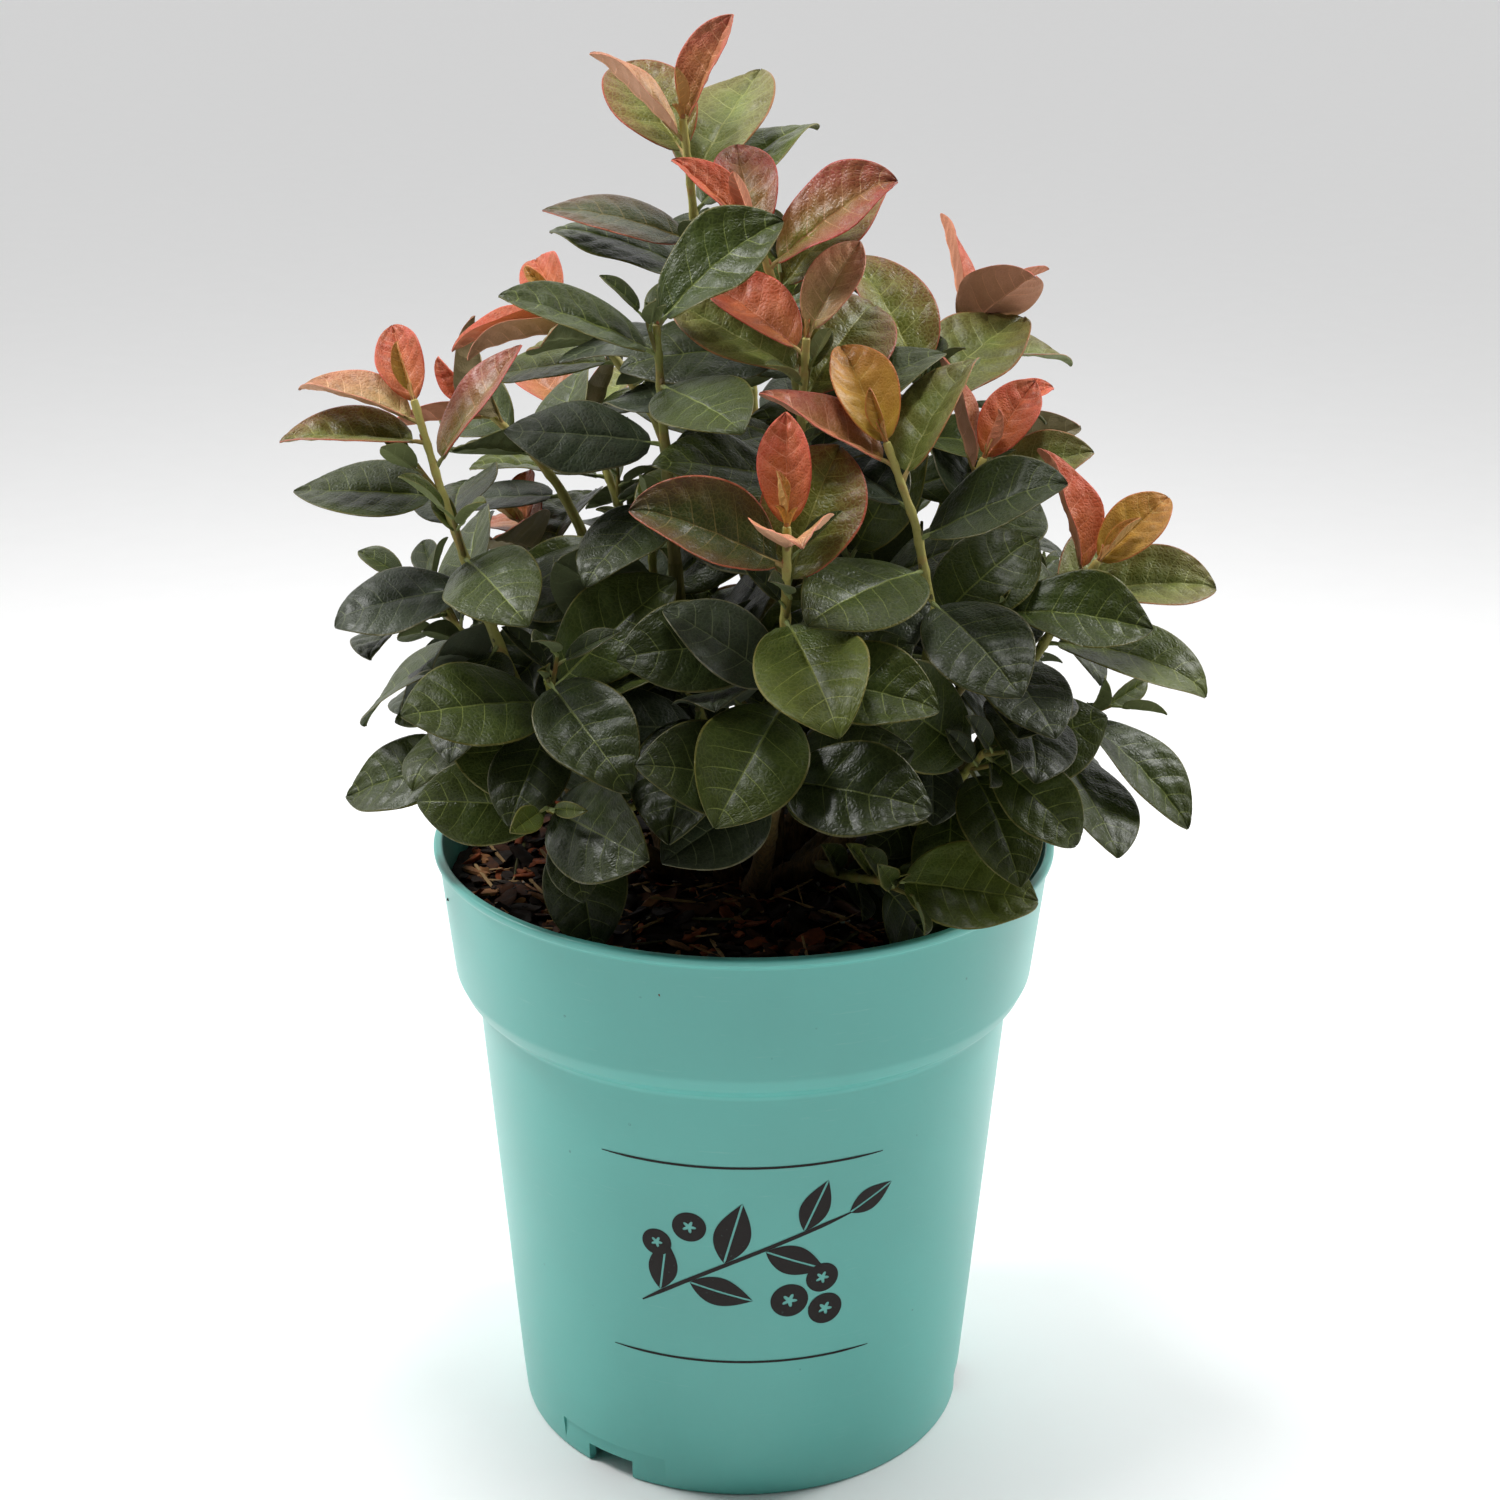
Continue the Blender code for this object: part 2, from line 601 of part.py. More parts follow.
def pot_profile():
    """Half of the pot's section, from the middle of its underside round to the inside."""
    lean = COLLAR_FOOT_Z
    return (
        (0, 0),
        (HUB_RADIUS - 2, 0),
        (HUB_RADIUS, ARCH_HEIGHT),
        (BODY_FOOT_RADIUS - 4.5, ARCH_HEIGHT),
        (BODY_FOOT_RADIUS - 4.0, 0),
        (BODY_FOOT_RADIUS - 1.2, 0),
        (BODY_FOOT_RADIUS, 12),
        (BODY_TOP_RADIUS, lean - 1.5),
        (BODY_TOP_RADIUS + 1.2, lean + 0.4),
        (COLLAR_FOOT_RADIUS - 2.4, lean + 3.4),
        (COLLAR_FOOT_RADIUS - 0.5, lean + 5.6),
        (COLLAR_FOOT_RADIUS, lean + 8.5),
        (RIM_RADIUS - 1.6, POT_HEIGHT - 3.6),
        (RIM_RADIUS, POT_HEIGHT - 1.8),
        (RIM_RADIUS - 0.6, POT_HEIGHT),
        (RIM_RADIUS - 2.6, POT_HEIGHT),
        (RIM_RADIUS - 1.6 - WALL, POT_HEIGHT - 2.0),
        (COLLAR_FOOT_RADIUS - WALL, lean + 9.0),
        (BODY_TOP_RADIUS - WALL + 0.6, lean + 1.6),
        (BODY_TOP_RADIUS - WALL, lean - 1.0),
        (BODY_FOOT_RADIUS - WALL, ARCH_HEIGHT + FLOOR + 1.5),
        (BODY_FOOT_RADIUS - WALL - 1.2, ARCH_HEIGHT + FLOOR),
        (HUB_RADIUS - 0.5 - FLOOR, ARCH_HEIGHT + FLOOR),
        (HUB_RADIUS - 3.0 - FLOOR, FLOOR),
        (0, FLOOR),
    )


def wall_radius(z):
    """The inside of the pot's wall at a height, in the straight stretch of its collar."""
    low, high = COLLAR_FOOT_Z + 9.0, POT_HEIGHT - 2.0
    share = (z - low) / (high - low)
    return COLLAR_FOOT_RADIUS - WALL + (RIM_RADIUS - 1.6 - COLLAR_FOOT_RADIUS) * share


def compost_shape():
    """The compost: it fills the pot to a low mound, clear of the wall by the gap."""
    floor = ARCH_HEIGHT + FLOOR + SEAT
    foot, neck, collar = (r - WALL - SEAT for r in (BODY_FOOT_RADIUS, BODY_TOP_RADIUS, COLLAR_FOOT_RADIUS))
    body = ((0, floor), (foot - 1.2, floor), (foot, floor + 1.8), (neck, COLLAR_FOOT_Z - 0.8))
    body += ((neck + 0.6, COLLAR_FOOT_Z + 1.9), (collar, COLLAR_FOOT_Z + 9.4))
    vertices, faces = turned(body, POT_SIDES)
    last = list(range(len(vertices) - POT_SIDES, len(vertices)))
    for reach in (None,) + SOIL_RINGS:
        ring = []
        for j in range(POT_SIDES):
            bearing = 360.0 * j / POT_SIDES
            if reach:
                place = on_bearing(bearing, reach)
                place.z = compost_height(place.x, place.y)
            else:
                edge = on_bearing(bearing, COLLAR_FOOT_RADIUS)
                height = compost_height(edge.x, edge.y)
                place = on_bearing(bearing, wall_radius(height) - SEAT, height)
            ring.append(len(vertices))
            vertices.append(place)
        for j in range(POT_SIDES):
            nxt = (j + 1) % POT_SIDES
            faces.append((last[j], last[nxt], ring[nxt], ring[j]))
        last = ring
    vertices.append(Vector((0, 0, SOIL_CROWN_Z)))
    for j in range(POT_SIDES):
        faces.append((last[j], last[(j + 1) % POT_SIDES], len(vertices) - 1))
    return vertices, faces


def cut(target, cutter):
    """Cuts one closed object from another, and removes the cutter."""
    modifier = target.modifiers.new("cut", "BOOLEAN")
    modifier.operation = "DIFFERENCE"
    modifier.object = cutter
    modifier.solver = "EXACT"
    settle(target)
    bpy.data.objects.remove(cutter)


def settle(target):
    """Makes the modifiers of an object part of its mesh."""
    bpy.context.view_layer.update()
    graph = bpy.context.evaluated_depsgraph_get()
    result = bpy.data.meshes.new_from_object(target.evaluated_get(graph))
    target.modifiers.clear()
    old, target.data = target.data, result
    bpy.data.meshes.remove(old)


def ring_block(low_radius, high_radius, low_z, high_z, bearing, half_angle, steps):
    """A closed block between two radii, over a stretch of bearings."""
    vertices, faces = [], []
    for k in range(steps + 1):
        at = bearing - half_angle + 2 * half_angle * k / steps
        corners = ((low_radius, low_z), (high_radius, low_z), (high_radius, high_z), (low_radius, high_z))
        vertices += [on_bearing(at, radius, z) for radius, z in corners]
    for k in range(steps):
        for j in range(4):
            a, b = 4 * k + j, 4 * k + (j + 1) % 4
            faces.append((a, b, b + 4, a + 4))
    faces += [(3, 2, 1, 0), tuple(4 * steps + j for j in range(4))]
    return vertices, faces


def add_pot():
    pot = add_object("pot", *turned(pot_profile(), POT_SIDES), "pot", smooth=True)
    notch_half_angle = math.degrees(NOTCH_WIDTH / 2 / BODY_FOOT_RADIUS)
    for bearing in NOTCH_BEARINGS:
        panel = ring_block(BODY_FOOT_RADIUS - PANEL_DEPTH, 90, -1, PANEL_HEIGHT, bearing, PANEL_HALF_ANGLE, 6)
        cut(pot, add_object("panel_cutter", *panel, "pot"))
        notch = ring_block(BODY_FOOT_RADIUS - 6, 90, -1, NOTCH_HEIGHT, bearing, notch_half_angle, 3)
        cut(pot, add_object("notch_cutter", *notch, "pot"))
    return pot


def fuse(stem, blades, name):
    """Joins a stem and its leaves into one closed body."""
    group = bpy.data.collections.new(name + "_leaves")
    bpy.context.scene.collection.children.link(group)
    for k, (vertices, faces) in enumerate(blades):
        made = add_object(f"{name}_leaf_{k}", vertices, faces, "shoot")
        bpy.context.scene.collection.objects.unlink(made)
        group.objects.link(made)
    if blades:
        modifier = stem.modifiers.new("fuse", "BOOLEAN")
        modifier.operation = "UNION"
        modifier.operand_type = "COLLECTION"
        modifier.collection = group
        modifier.solver = "MANIFOLD"
        settle(stem)
    for made in list(group.objects):
        bpy.data.objects.remove(made)
    bpy.data.collections.remove(group)


def main():
    for old in list(bpy.data.objects):
        bpy.data.objects.remove(old)
    pot_shape = turned(pot_profile(), POT_SIDES)
    soil_shape = compost_shape()
    add_pot()
    add_object("compost", *soil_shape, "compost")
    for cane in CANES:
        path = cane_path(cane)
        shape = tube(path, cane_radii(), CANE_SIDES, Vector((0, 0, 1)))
        add_object(cane.name, *shape, "cane", smooth=True)
    for shoot, path, foot_way, leaves in grow(pot_shape, soil_shape):
        shape = tube(path, shoot_radii(), SHOOT_SIDES, foot_way)
        stem = add_object(shoot.name, *shape, "shoot", smooth=True)
        fuse(stem, [leaf_solid(leaf) for leaf in leaves], shoot.name)


if __name__ == "__main__":
    main()
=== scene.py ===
"""The looks of a young blueberry bush in a growing pot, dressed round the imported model.

The pot, the compost and the canes take the place of their solids. The leafy shoots are
grown again by the rule of the part's source, here with whole leaf blades, finer twigs and
buds. Sizes are in millimetres and angles in degrees; METRE turns sizes into metres.
x is to the right of the photograph, y to its back, z up.
"""

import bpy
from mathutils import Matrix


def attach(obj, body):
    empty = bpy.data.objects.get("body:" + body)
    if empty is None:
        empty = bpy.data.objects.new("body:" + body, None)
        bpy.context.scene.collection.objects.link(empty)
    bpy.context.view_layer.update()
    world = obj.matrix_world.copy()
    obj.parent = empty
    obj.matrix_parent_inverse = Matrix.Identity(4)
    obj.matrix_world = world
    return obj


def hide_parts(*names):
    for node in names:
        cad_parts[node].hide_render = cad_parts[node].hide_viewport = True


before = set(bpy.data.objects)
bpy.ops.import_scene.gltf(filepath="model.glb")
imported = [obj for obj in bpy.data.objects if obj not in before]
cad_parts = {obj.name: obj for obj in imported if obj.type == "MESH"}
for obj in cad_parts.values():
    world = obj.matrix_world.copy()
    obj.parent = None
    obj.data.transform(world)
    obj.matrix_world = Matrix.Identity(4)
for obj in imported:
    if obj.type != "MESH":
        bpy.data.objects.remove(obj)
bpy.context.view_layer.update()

import functools
import math
import random
from collections import namedtuple

import bmesh
import bpy
import numpy as np
from mathutils import Matrix, Vector, noise
from mathutils.bvhtree import BVHTree

bl_info = {
    "name": "Potted blueberry bush",
    "version": (1, 0, 0),
    "blender": (4, 5, 0),
    "location": "3D View > Sidebar > Blueberry",
    "description": "Grows and finishes a young blueberry bush in its pot",
    "category": "Add Mesh",
}

METRE = 0.001
BODY = "root"
PREFIX = "blueberry_"

# Pot, as in the part's source
GAP = 0.3
SEAT = GAP + 0.05
RIM_RADIUS = 105.0
POT_HEIGHT = 212.0
COLLAR_FOOT_Z = 159.0
COLLAR_FOOT_RADIUS = 98.9
BODY_TOP_RADIUS = 91.4
BODY_FOOT_RADIUS = 79.5
WALL = 1.9
FLOOR = 2.6
ARCH_HEIGHT = 8.5
HUB_RADIUS = 52.0
POT_SIDES = 192
NOTCH_BEARINGS = (-125, -5, 115)
NOTCH_WIDTH = 19.0
NOTCH_HEIGHT = 7.0
NOTCH_DEPTH = 6.0
PANEL_HALF_ANGLE = 16.0
PANEL_HEIGHT = 12.0
PANEL_DEPTH = 0.9
CORNER_RADIUS = 1.1

# Compost, as in the part's source
SOIL_EDGE_Z = 194.0
SOIL_CROWN_Z = 199.0
SOIL_CROWN_RADIUS = 42.0
SOIL_TILT = 3.5
SOIL_BUMP = 1.2
SOIL_WAVE = (9.0, 11.0)
SOIL_SIDES = 200
SOIL_RINGS = 84
SOIL_SKIRT = 14.0

# Canes: where each stands on the compost, and where its tip is
Cane = namedtuple("Cane", "name foot tip bow")
CANES = (
    Cane("cane_leader", (-5, 9), (-13, 14, 345), 4),
    Cane("cane_second", (8, 2), (18, -20, 335), 5),
    Cane("cane_left_high", (-15, 12), (-20, 22, 308), 6),
    Cane("cane_left", (-20, -7), (-66, -38, 262), 12),
    Cane("cane_left_back", (-24, 5), (-52, 40, 290), 10),
    Cane("cane_centre", (-5, -9), (-22, -38, 318), 8),
    Cane("cane_front", (4, -20), (11, -74, 282), 12),
    Cane("cane_right_centre", (14, -11), (52, -54, 268), 12),
    Cane("cane_right_bud", (20, -1), (58, -16, 288), 10),
    Cane("cane_right", (25, -11), (78, -38, 262), 12),
    Cane("cane_right_high", (14, 15), (50, 28, 318), 8),
    Cane("cane_back", (2, 24), (4, 66, 300), 10),
    Cane("cane_back_right", (22, 22), (56, 58, 270), 10),
    Cane("cane_back_left", (-13, 27), (-38, 68, 278), 10),
)
CANE_FOOT_RADIUS = 3.6
CANE_TIP_RADIUS = 2.3
CANE_FLARE = 1.5
CANE_SIDES = 6
CANE_RINGS = 6

# Shoots that grow from a cane: along is 1 at the cane's tip. turns are the bearings of the
# leaves about the stem from the tip down; the spiral goes on from the last one. youth is 1
# where the tip is in new red growth and 0 where every leaf is grown. close is how much of
# the usual step down the stem lies between two leaves.
Shoot = namedtuple("Shoot", "name cane along tip leaves turns youth size close", defaults=(1.0,))
SHOOTS = (
    Shoot("shoot_second", "cane_second", 1.0, (2, -28, 420),
          8, (270, 165, 85, 350, 20, 60, 200, 120), 1.0, 1.0),
    Shoot("shoot_leader", "cane_leader", 1.0, (-20, 0, 449),
          10, (200, 20, 190, 120, 60, 30, 180, 170, 90, 210), 1.0, 1.0),
    Shoot("shoot_right_centre", "cane_right_centre", 1.0, (42, -62, 362),
          10, (70, 100, 180, 20, 125, 340, 230, 300, 30, 180), 1.0, 1.0),
    Shoot("shoot_front", "cane_front", 1.0, (12, -92, 344),
          8, (180, 90, 275, 190, 50, 285, 200, 20), 1.0, 1.0),
    Shoot("shoot_third", "cane_second", 0.9, (18, -46, 390),
          7, (60, 130, 150, 60, 20, 320, 200), 0.7, 0.95),
    Shoot("shoot_left_high", "cane_left_high", 1.0, (-62, 35, 386),
          8, (100, 90, 185, 200, 260, 170, 320), 1.0, 0.9),
    Shoot("shoot_left", "cane_left", 1.0, (-102, -35, 368),
          11, (45, 100, 170, 185, 10, 175, 90, 290, 190, 20, 245), 1.0, 1.0),
    Shoot("shoot_left_back", "cane_left_back", 1.0, (-89, 50, 346),
          7, (60, 200), 0.9, 0.9),
    Shoot("shoot_centre", "cane_centre", 1.0, (-27, -46, 394),
          8, (20, 190, 300, 100, 185, 10, 235, 330), 0.15, 0.95),
    Shoot("shoot_right_bud", "cane_right_bud", 1.0, (75, -20, 347),
          7, (200, 60, 180, 0, 90, 270), 1.0, 0.9),
    Shoot("shoot_right", "cane_right", 1.0, (109, -46, 321),
          9, (20, 45, 160, 5, 70, 345, 200, 280), 1.0, 1.0),
    Shoot("shoot_right_high", "cane_right_high", 1.0, (76, 45, 384),
          7, (90, 20, 170, 280, 10, 200), 1.0, 0.9),
    Shoot("shoot_back", "cane_back", 1.0, (0, 80, 372),
          8, (60,), 0.9, 1.0),
    Shoot("shoot_back_right", "cane_back_right", 1.0, (82, 82, 330),
          8, (30,), 0.8, 1.0),
    Shoot("shoot_back_left", "cane_back_left", 1.0, (-58, 88, 335),
          9, (130,), 0.6, 1.0),
    Shoot("shoot_upper_right", "cane_right_high", 0.8, (56, -2, 368),
          6, (135, 60, 330, 200, 20), 0.3, 1.05),
    Shoot("shoot_low_left", "cane_left", 0.45, (-88, -34, 250),
          7, (180, 250, 330, 120), 0.0, 0.95),
    Shoot("shoot_low_front_left", "cane_centre", 0.3, (-46, -62, 236),
          4, (262, 190, 165, 60), 0.0, 0.95),
    Shoot("shoot_low_front", "cane_front", 0.55, (-14, -74, 282),
          6, (255, 190, 320), 0.0, 1.05),
    Shoot("shoot_low_front_right", "cane_right_centre", 0.25, (46, -80, 228),
          6, (345, 215, 285, 20, 120), 0.0, 0.95),
    Shoot("shoot_low_right", "cane_right", 0.6, (108, -22, 262),
          7, (345, 320, 40, 270), 0.0, 1.0),
)

# Fill shoots stand in rings round the crown: height, reach and how many places there are
FILL_RINGS = (
    (286, 50, 6),
    (326, 44, 4),
    (262, 104, 9),
    (300, 98, 8),
    (338, 82, 6),
    (368, 58, 4),
    (228, 92, 8),
)
FILL_MOST = 25
FILL_CLEAR = 31.0
FILL_LEAVES = 12
FILL_SHARES = (0.2, 0.35, 0.5, 0.65, 0.8, 0.92)
FILL_RISE = 25.0
FILL_STEM = 48.0
FILL_CLOSE = 0.74
FILL_SIZE = 0.95
FILL_YOUTH = 0.9
FILL_YOUNG_HEIGHT = 250

# Where the plant stands open low at the front: low and high corners
OPENINGS = (
    ((-100, -125, 180), (-64, -15, 236)),
    ((-34, -125, 180), (8, -15, 246)),
    ((8, -125, 216), (34, -30, 246)),
)
OPEN_FRONT = (195, 335)
OPEN_HEIGHT = 240
GOLDEN = 137.508

# How a shoot changes from its tip down, by the age of the leaf
AGE_LENGTH = ((0, 15), (1, 34), (2, 41), (3, 46), (5, 48), (12, 45))
AGE_WIDTH = ((0, 0.48), (1, 0.60), (2, 0.63), (3, 0.65), (5, 0.67))
AGE_PITCH = ((0, 8), (1, 20), (2, 38), (3, 50), (5, 60), (8, 68), (14, 80))
AGE_STEP = ((0, 2.5), (1, 4), (2, 6), (3, 8.5), (5, 10), (12, 9.5))
AGE_FOLD = ((0, 42), (1, 21), (2, 15), (4, 10), (8, 5))
AGE_CURL = ((0, 10), (2, 24), (4, 10), (8, -14))
AGE_BEND = ((0, -6), (1, 6), (3, 16), (6, 20), (12, 26))
GROWN_TIP_AGE = 4.5
LOWEST_HEADING = -0.62
FRONT_DROOP = 24.0
LEAN_OUT = 0.35
LEAN_FRONT = 0.5
LEAN_SPREAD = 16.0
LEAN_AGE = 3.0
SHOOT_FOOT_RADIUS = 2.1
SHOOT_TIP_RADIUS = 1.0
SHOOT_SIDES = 5
SHOOT_RINGS = 4
TOP_LEAF_DROP = 0.9
LEAST_BARE_STEM = 7.0
STEM_ROOM = 0.4

# Leaves
Leaf = namedtuple("Leaf", "root heading face length width fold curl bend flick twist wave age")
PETIOLE = 4.0
PETIOLE_NECK = 3.2
PETIOLE_RADIUS = 0.85
LEAF_STATIONS = (0.24, 0.66)
LEAF_THICKNESS = 0.012
LEAST_THICKNESS = 0.6
TEST_SWELL = 0.7
# What a leaf tries to find room, mildest first: sizes with turns about the stem, and tilts
TRY_TURNS = (
    (1.0, (0, 14, -14, 28, -28)),
    (0.92, (0, 25, -25, 45, -45, 65, -65)),
    (0.8, (0, 30, -30, 60, -60, 90, -90, 130, -130)),
    (0.66, (0, 40, -40, 80, -80, 120, -120, 180)),
)
TRY_TILTS = (0, -14, 14)
TRIES = [(turn, tilt, scale) for scale, turns in TRY_TURNS for turn in turns for tilt in TRY_TILTS]

# Camera, set to the photograph: where it stands, what it looks at, and its roll
CAMERA_PLACE = (0.0, -827.7, 545.6)
CAMERA_GOAL = (1.9, 0.0, 241.4)
CAMERA_LENS = 62.9
CAMERA_ROLL = 0.34


# The growth rule of the part's source


def by_age(table, age):
    """Reads a table of (age, value) pairs at any age."""
    return float(np.interp(age, [row[0] for row in table], [row[1] for row in table]))


def on_bearing(degrees, radius, z=0.0):
    """A point at a bearing round the pot's axis."""
    angle = math.radians(degrees)
    return Vector((radius * math.cos(angle), radius * math.sin(angle), z))


def compost_height(x, y):
    """The top of the compost at a place: a low mound that tilts a little."""
    radius = math.hypot(x, y)
    edge = min(max((radius - SOIL_CROWN_RADIUS) / (RIM_RADIUS - SOIL_CROWN_RADIUS), 0.0), 1.0)
    bumps = SOIL_BUMP * math.sin(x / SOIL_WAVE[0] + 1.0) * math.cos(y / SOIL_WAVE[1]) * min(edge * 3, 1.0)
    lean = SOIL_TILT * edge * x / RIM_RADIUS
    return SOIL_CROWN_Z + (SOIL_EDGE_Z - SOIL_CROWN_Z) * edge - lean + bumps


def arc_path(start, end, bow, steps):
    """Points from start to end that bow outwards at mid height, as a cane leans out."""
    start, end = Vector(start), Vector(end)
    out = Vector((end.x - start.x, end.y - start.y, 0.0))
    out = out.normalized() if out.length > 1.0 else Vector((1.0, 0.0, 0.0))
    middle = (start + end) / 2 + out * bow - Vector((0, 0, 0.6 * bow))
    return bezier(start, middle, end, steps)


def bezier(start, middle, end, steps):
    """Points on a curve from start to end that is drawn towards middle."""
    shares = [k / steps for k in range(steps + 1)]
    return [start * (1 - t) ** 2 + middle * (2 * t * (1 - t)) + end * t * t for t in shares]


def along_path(points, share):
    """The point and direction at a share of a path's length, from 0 to 1."""
    lengths = [0.0]
    for a, b in zip(points, points[1:]):
        lengths.append(lengths[-1] + (b - a).length)
    goal = min(max(share, 0.0), 1.0) * lengths[-1]
    for k in range(len(points) - 1):
        if goal <= lengths[k + 1] or k == len(points) - 2:
            step = points[k + 1] - points[k]
            return points[k] + step * ((goal - lengths[k]) / step.length), step.normalized()


def path_length(points):
    """How long a line through points is."""
    return sum((b - a).length for a, b in zip(points, points[1:]))


def side_of(direction):
    """Two directions square to this one; the first is level where that is possible."""
    across = direction.cross(Vector((0, 0, 1)))
    across = across.normalized() if across.length > 0.05 else Vector((1, 0, 0))
    return across, direction.cross(across).normalized()


def around(direction, turn):
    """A direction square to this one, turned about it."""
    a, b = side_of(direction)
    return a * math.cos(turn) + b * math.sin(turn)


def square_to(way, direction):
    """What is left of a way when it is made square to a direction, with a length of 1."""
    return (way - direction * way.dot(direction)).normalized()


def tapered(foot, tip, rings):
    """The radii of a limb from its foot to its tip."""
    return [foot + (tip - foot) * k / rings for k in range(rings + 1)]


def tube(points, radii, sides, foot_way):
    """A closed tube of flat sides along points; foot_way is square to its first end."""
    vertices, faces = [], []
    for k, point in enumerate(points):
        ahead = foot_way if k == 0 else points[min(k + 1, len(points) - 1)] - points[k - 1]
        a, b = side_of(ahead.normalized())
        for j in range(sides):
            angle = 2 * math.pi * j / sides
            vertices.append(point + (a * math.cos(angle) + b * math.sin(angle)) * radii[k])
    for k in range(len(points) - 1):
        for j in range(sides):
            near, far = k * sides, (k + 1) * sides
            nxt = (j + 1) % sides
            faces.append((near + j, near + nxt, far + nxt, far + j))
    faces.append(tuple(reversed(range(sides))))
    top = (len(points) - 1) * sides
    faces.append(tuple(range(top, top + sides)))
    return vertices, faces


def half_width(u):
    """The outline of a leaf: its half width at u, from 0 at the stalk to 1 at the tip."""
    u = np.clip(u, 0.0, 1.0)
    return np.sin(math.pi * u**0.97) ** (0.56 + 0.24 * u**2)


def rib_frames(leaf, u):
    """Points on the rib at u, with the face and side directions there."""
    fine = np.linspace(0.0, 1.0, 41)
    turn = leaf.bend * fine + leaf.flick * np.clip((fine - 0.72) / 0.28, 0, 1) ** 2
    heading, face = np.array(leaf.heading), np.array(leaf.face)
    ahead = np.cos(turn)[:, None] * heading - np.sin(turn)[:, None] * face
    steps = (ahead[1:] + ahead[:-1]) / 2 * (leaf.length / 40)
    start = np.array(leaf.root) + heading * PETIOLE
    rib = start + np.vstack([np.zeros(3), np.cumsum(steps, axis=0)])
    at = np.stack([np.interp(u, fine, rib[:, axis]) for axis in range(3)], axis=-1)
    turn_at = np.interp(u, fine, turn)[..., None]
    ahead_at = np.cos(turn_at) * heading - np.sin(turn_at) * face
    face_at = np.sin(turn_at) * heading + np.cos(turn_at) * face
    side_at = np.cross(ahead_at, face_at)
    twist = leaf.twist * u[..., None]
    up = face_at * np.cos(twist) + side_at * np.sin(twist)
    return at, up, np.cross(ahead_at, up)


def blade(leaf, u, v):
    """Points of the blade: u runs along the rib from 0 to 1, v from edge to edge, -1 to 1."""
    u, v = np.asarray(u, float), np.asarray(v, float)
    at, up, side = rib_frames(leaf, u)
    width = leaf.width / 2 * half_width(u)
    curl = leaf.curl if abs(leaf.curl) > 1e-3 else 1e-3
    reach = np.abs(v)
    level = width * (np.sin(leaf.fold + curl * reach) - math.sin(leaf.fold)) / curl
    rise = width * (math.cos(leaf.fold) - np.cos(leaf.fold + curl * reach)) / curl
    ripple = leaf.wave * width * reach**2 * np.sin(9.0 * u + 2.2 * np.sign(v) + leaf.age)
    return at + side * (level * np.sign(v))[..., None] + up * (rise + ripple)[..., None]


def leaf_solid(leaf, swell=0.0):
    """A leaf as a closed thin solid: stalk, blade folded on its rib, and tip."""
    root, heading, face = Vector(leaf.root), Vector(leaf.heading), Vector(leaf.face)
    side = heading.cross(face)
    neck = root + heading * PETIOLE_NECK
    vertices = [root]
    stalk = PETIOLE_RADIUS + swell / 2
    vertices += [neck - side * stalk, neck + face * stalk, neck + side * stalk, neck - face * stalk]
    stations = np.array(LEAF_STATIONS)
    grid = blade(leaf, np.repeat(stations[:, None], 3, axis=1), np.array([[-1.0, 0.0, 1.0]] * 2))
    _, up, across = rib_frames(leaf, stations)
    thick = max(LEAF_THICKNESS * leaf.length, LEAST_THICKNESS) / 2 + swell
    for k in range(len(stations)):
        lift = Vector(up[k]) * thick
        wide = Vector(across[k]) * swell
        left, middle, right = (Vector(point) for point in grid[k])
        vertices += [left - wide, middle + lift, right + wide, middle - lift]
    tip = Vector(blade(leaf, [1.0], [0.0])[0])
    vertices.append(tip + (tip - vertices[-3]).normalized() * swell)
    faces = [(0, 1 + (j + 1) % 4, 1 + j) for j in range(4)]
    for k in range(len(stations)):
        for j in range(4):
            a, b = 1 + 4 * k + j, 1 + 4 * k + (j + 1) % 4
            if j % 2:
                faces += [(a, b, a + 4), (b, b + 4, a + 4)]
            else:
                faces += [(a, b + 4, a + 4), (a, b, b + 4)]
    last, end = 1 + 4 * len(stations), len(vertices) - 1
    faces += [(last + j, last + (j + 1) % 4, end) for j in range(4)]
    return vertices, faces


class Crowd:
    """What has been placed so far, so that nothing new runs into it."""

    def __init__(self):
        self.members = []

    def add(self, owner, vertices, faces):
        tree = BVHTree.FromPolygons(vertices, faces)
        self.members.append((owner, box_of(vertices), tree))

    def meets(self, vertices, faces, but=()):
        """Whether a shape crosses anything here, apart from what the named owners placed."""
        low, high = box_of(vertices)
        tree = BVHTree.FromPolygons(vertices, faces)
        for owner, (a, b), other in self.members:
            apart = any(low[k] > b[k] or high[k] < a[k] for k in range(3))
            if owner not in but and not apart and tree.overlap(other):
                return True
        return False


def box_of(vertices):
    """The lowest and highest corners of some points."""
    table = np.array([tuple(v) for v in vertices])
    return table.min(axis=0), table.max(axis=0)


def in_opening(vertices):
    """Whether any of these points is where the plant stands open."""
    return any(
        all(a < c < b for a, c, b in zip(low, vertex, high))
        for vertex in vertices
        for low, high in OPENINGS
    )


def cane_path(cane, steps=CANE_RINGS):
    """The middle line of a cane, from just above the compost to its tip."""
    x, y = cane.foot
    return arc_path((x, y, SOIL_CROWN_Z + GAP), cane.tip, cane.bow, steps)


def cane_radii():
    """From a flared foot to the tip."""
    foot, *rest = tapered(CANE_FOOT_RADIUS, CANE_TIP_RADIUS, CANE_RINGS)
    return [foot * CANE_FLARE] + rest


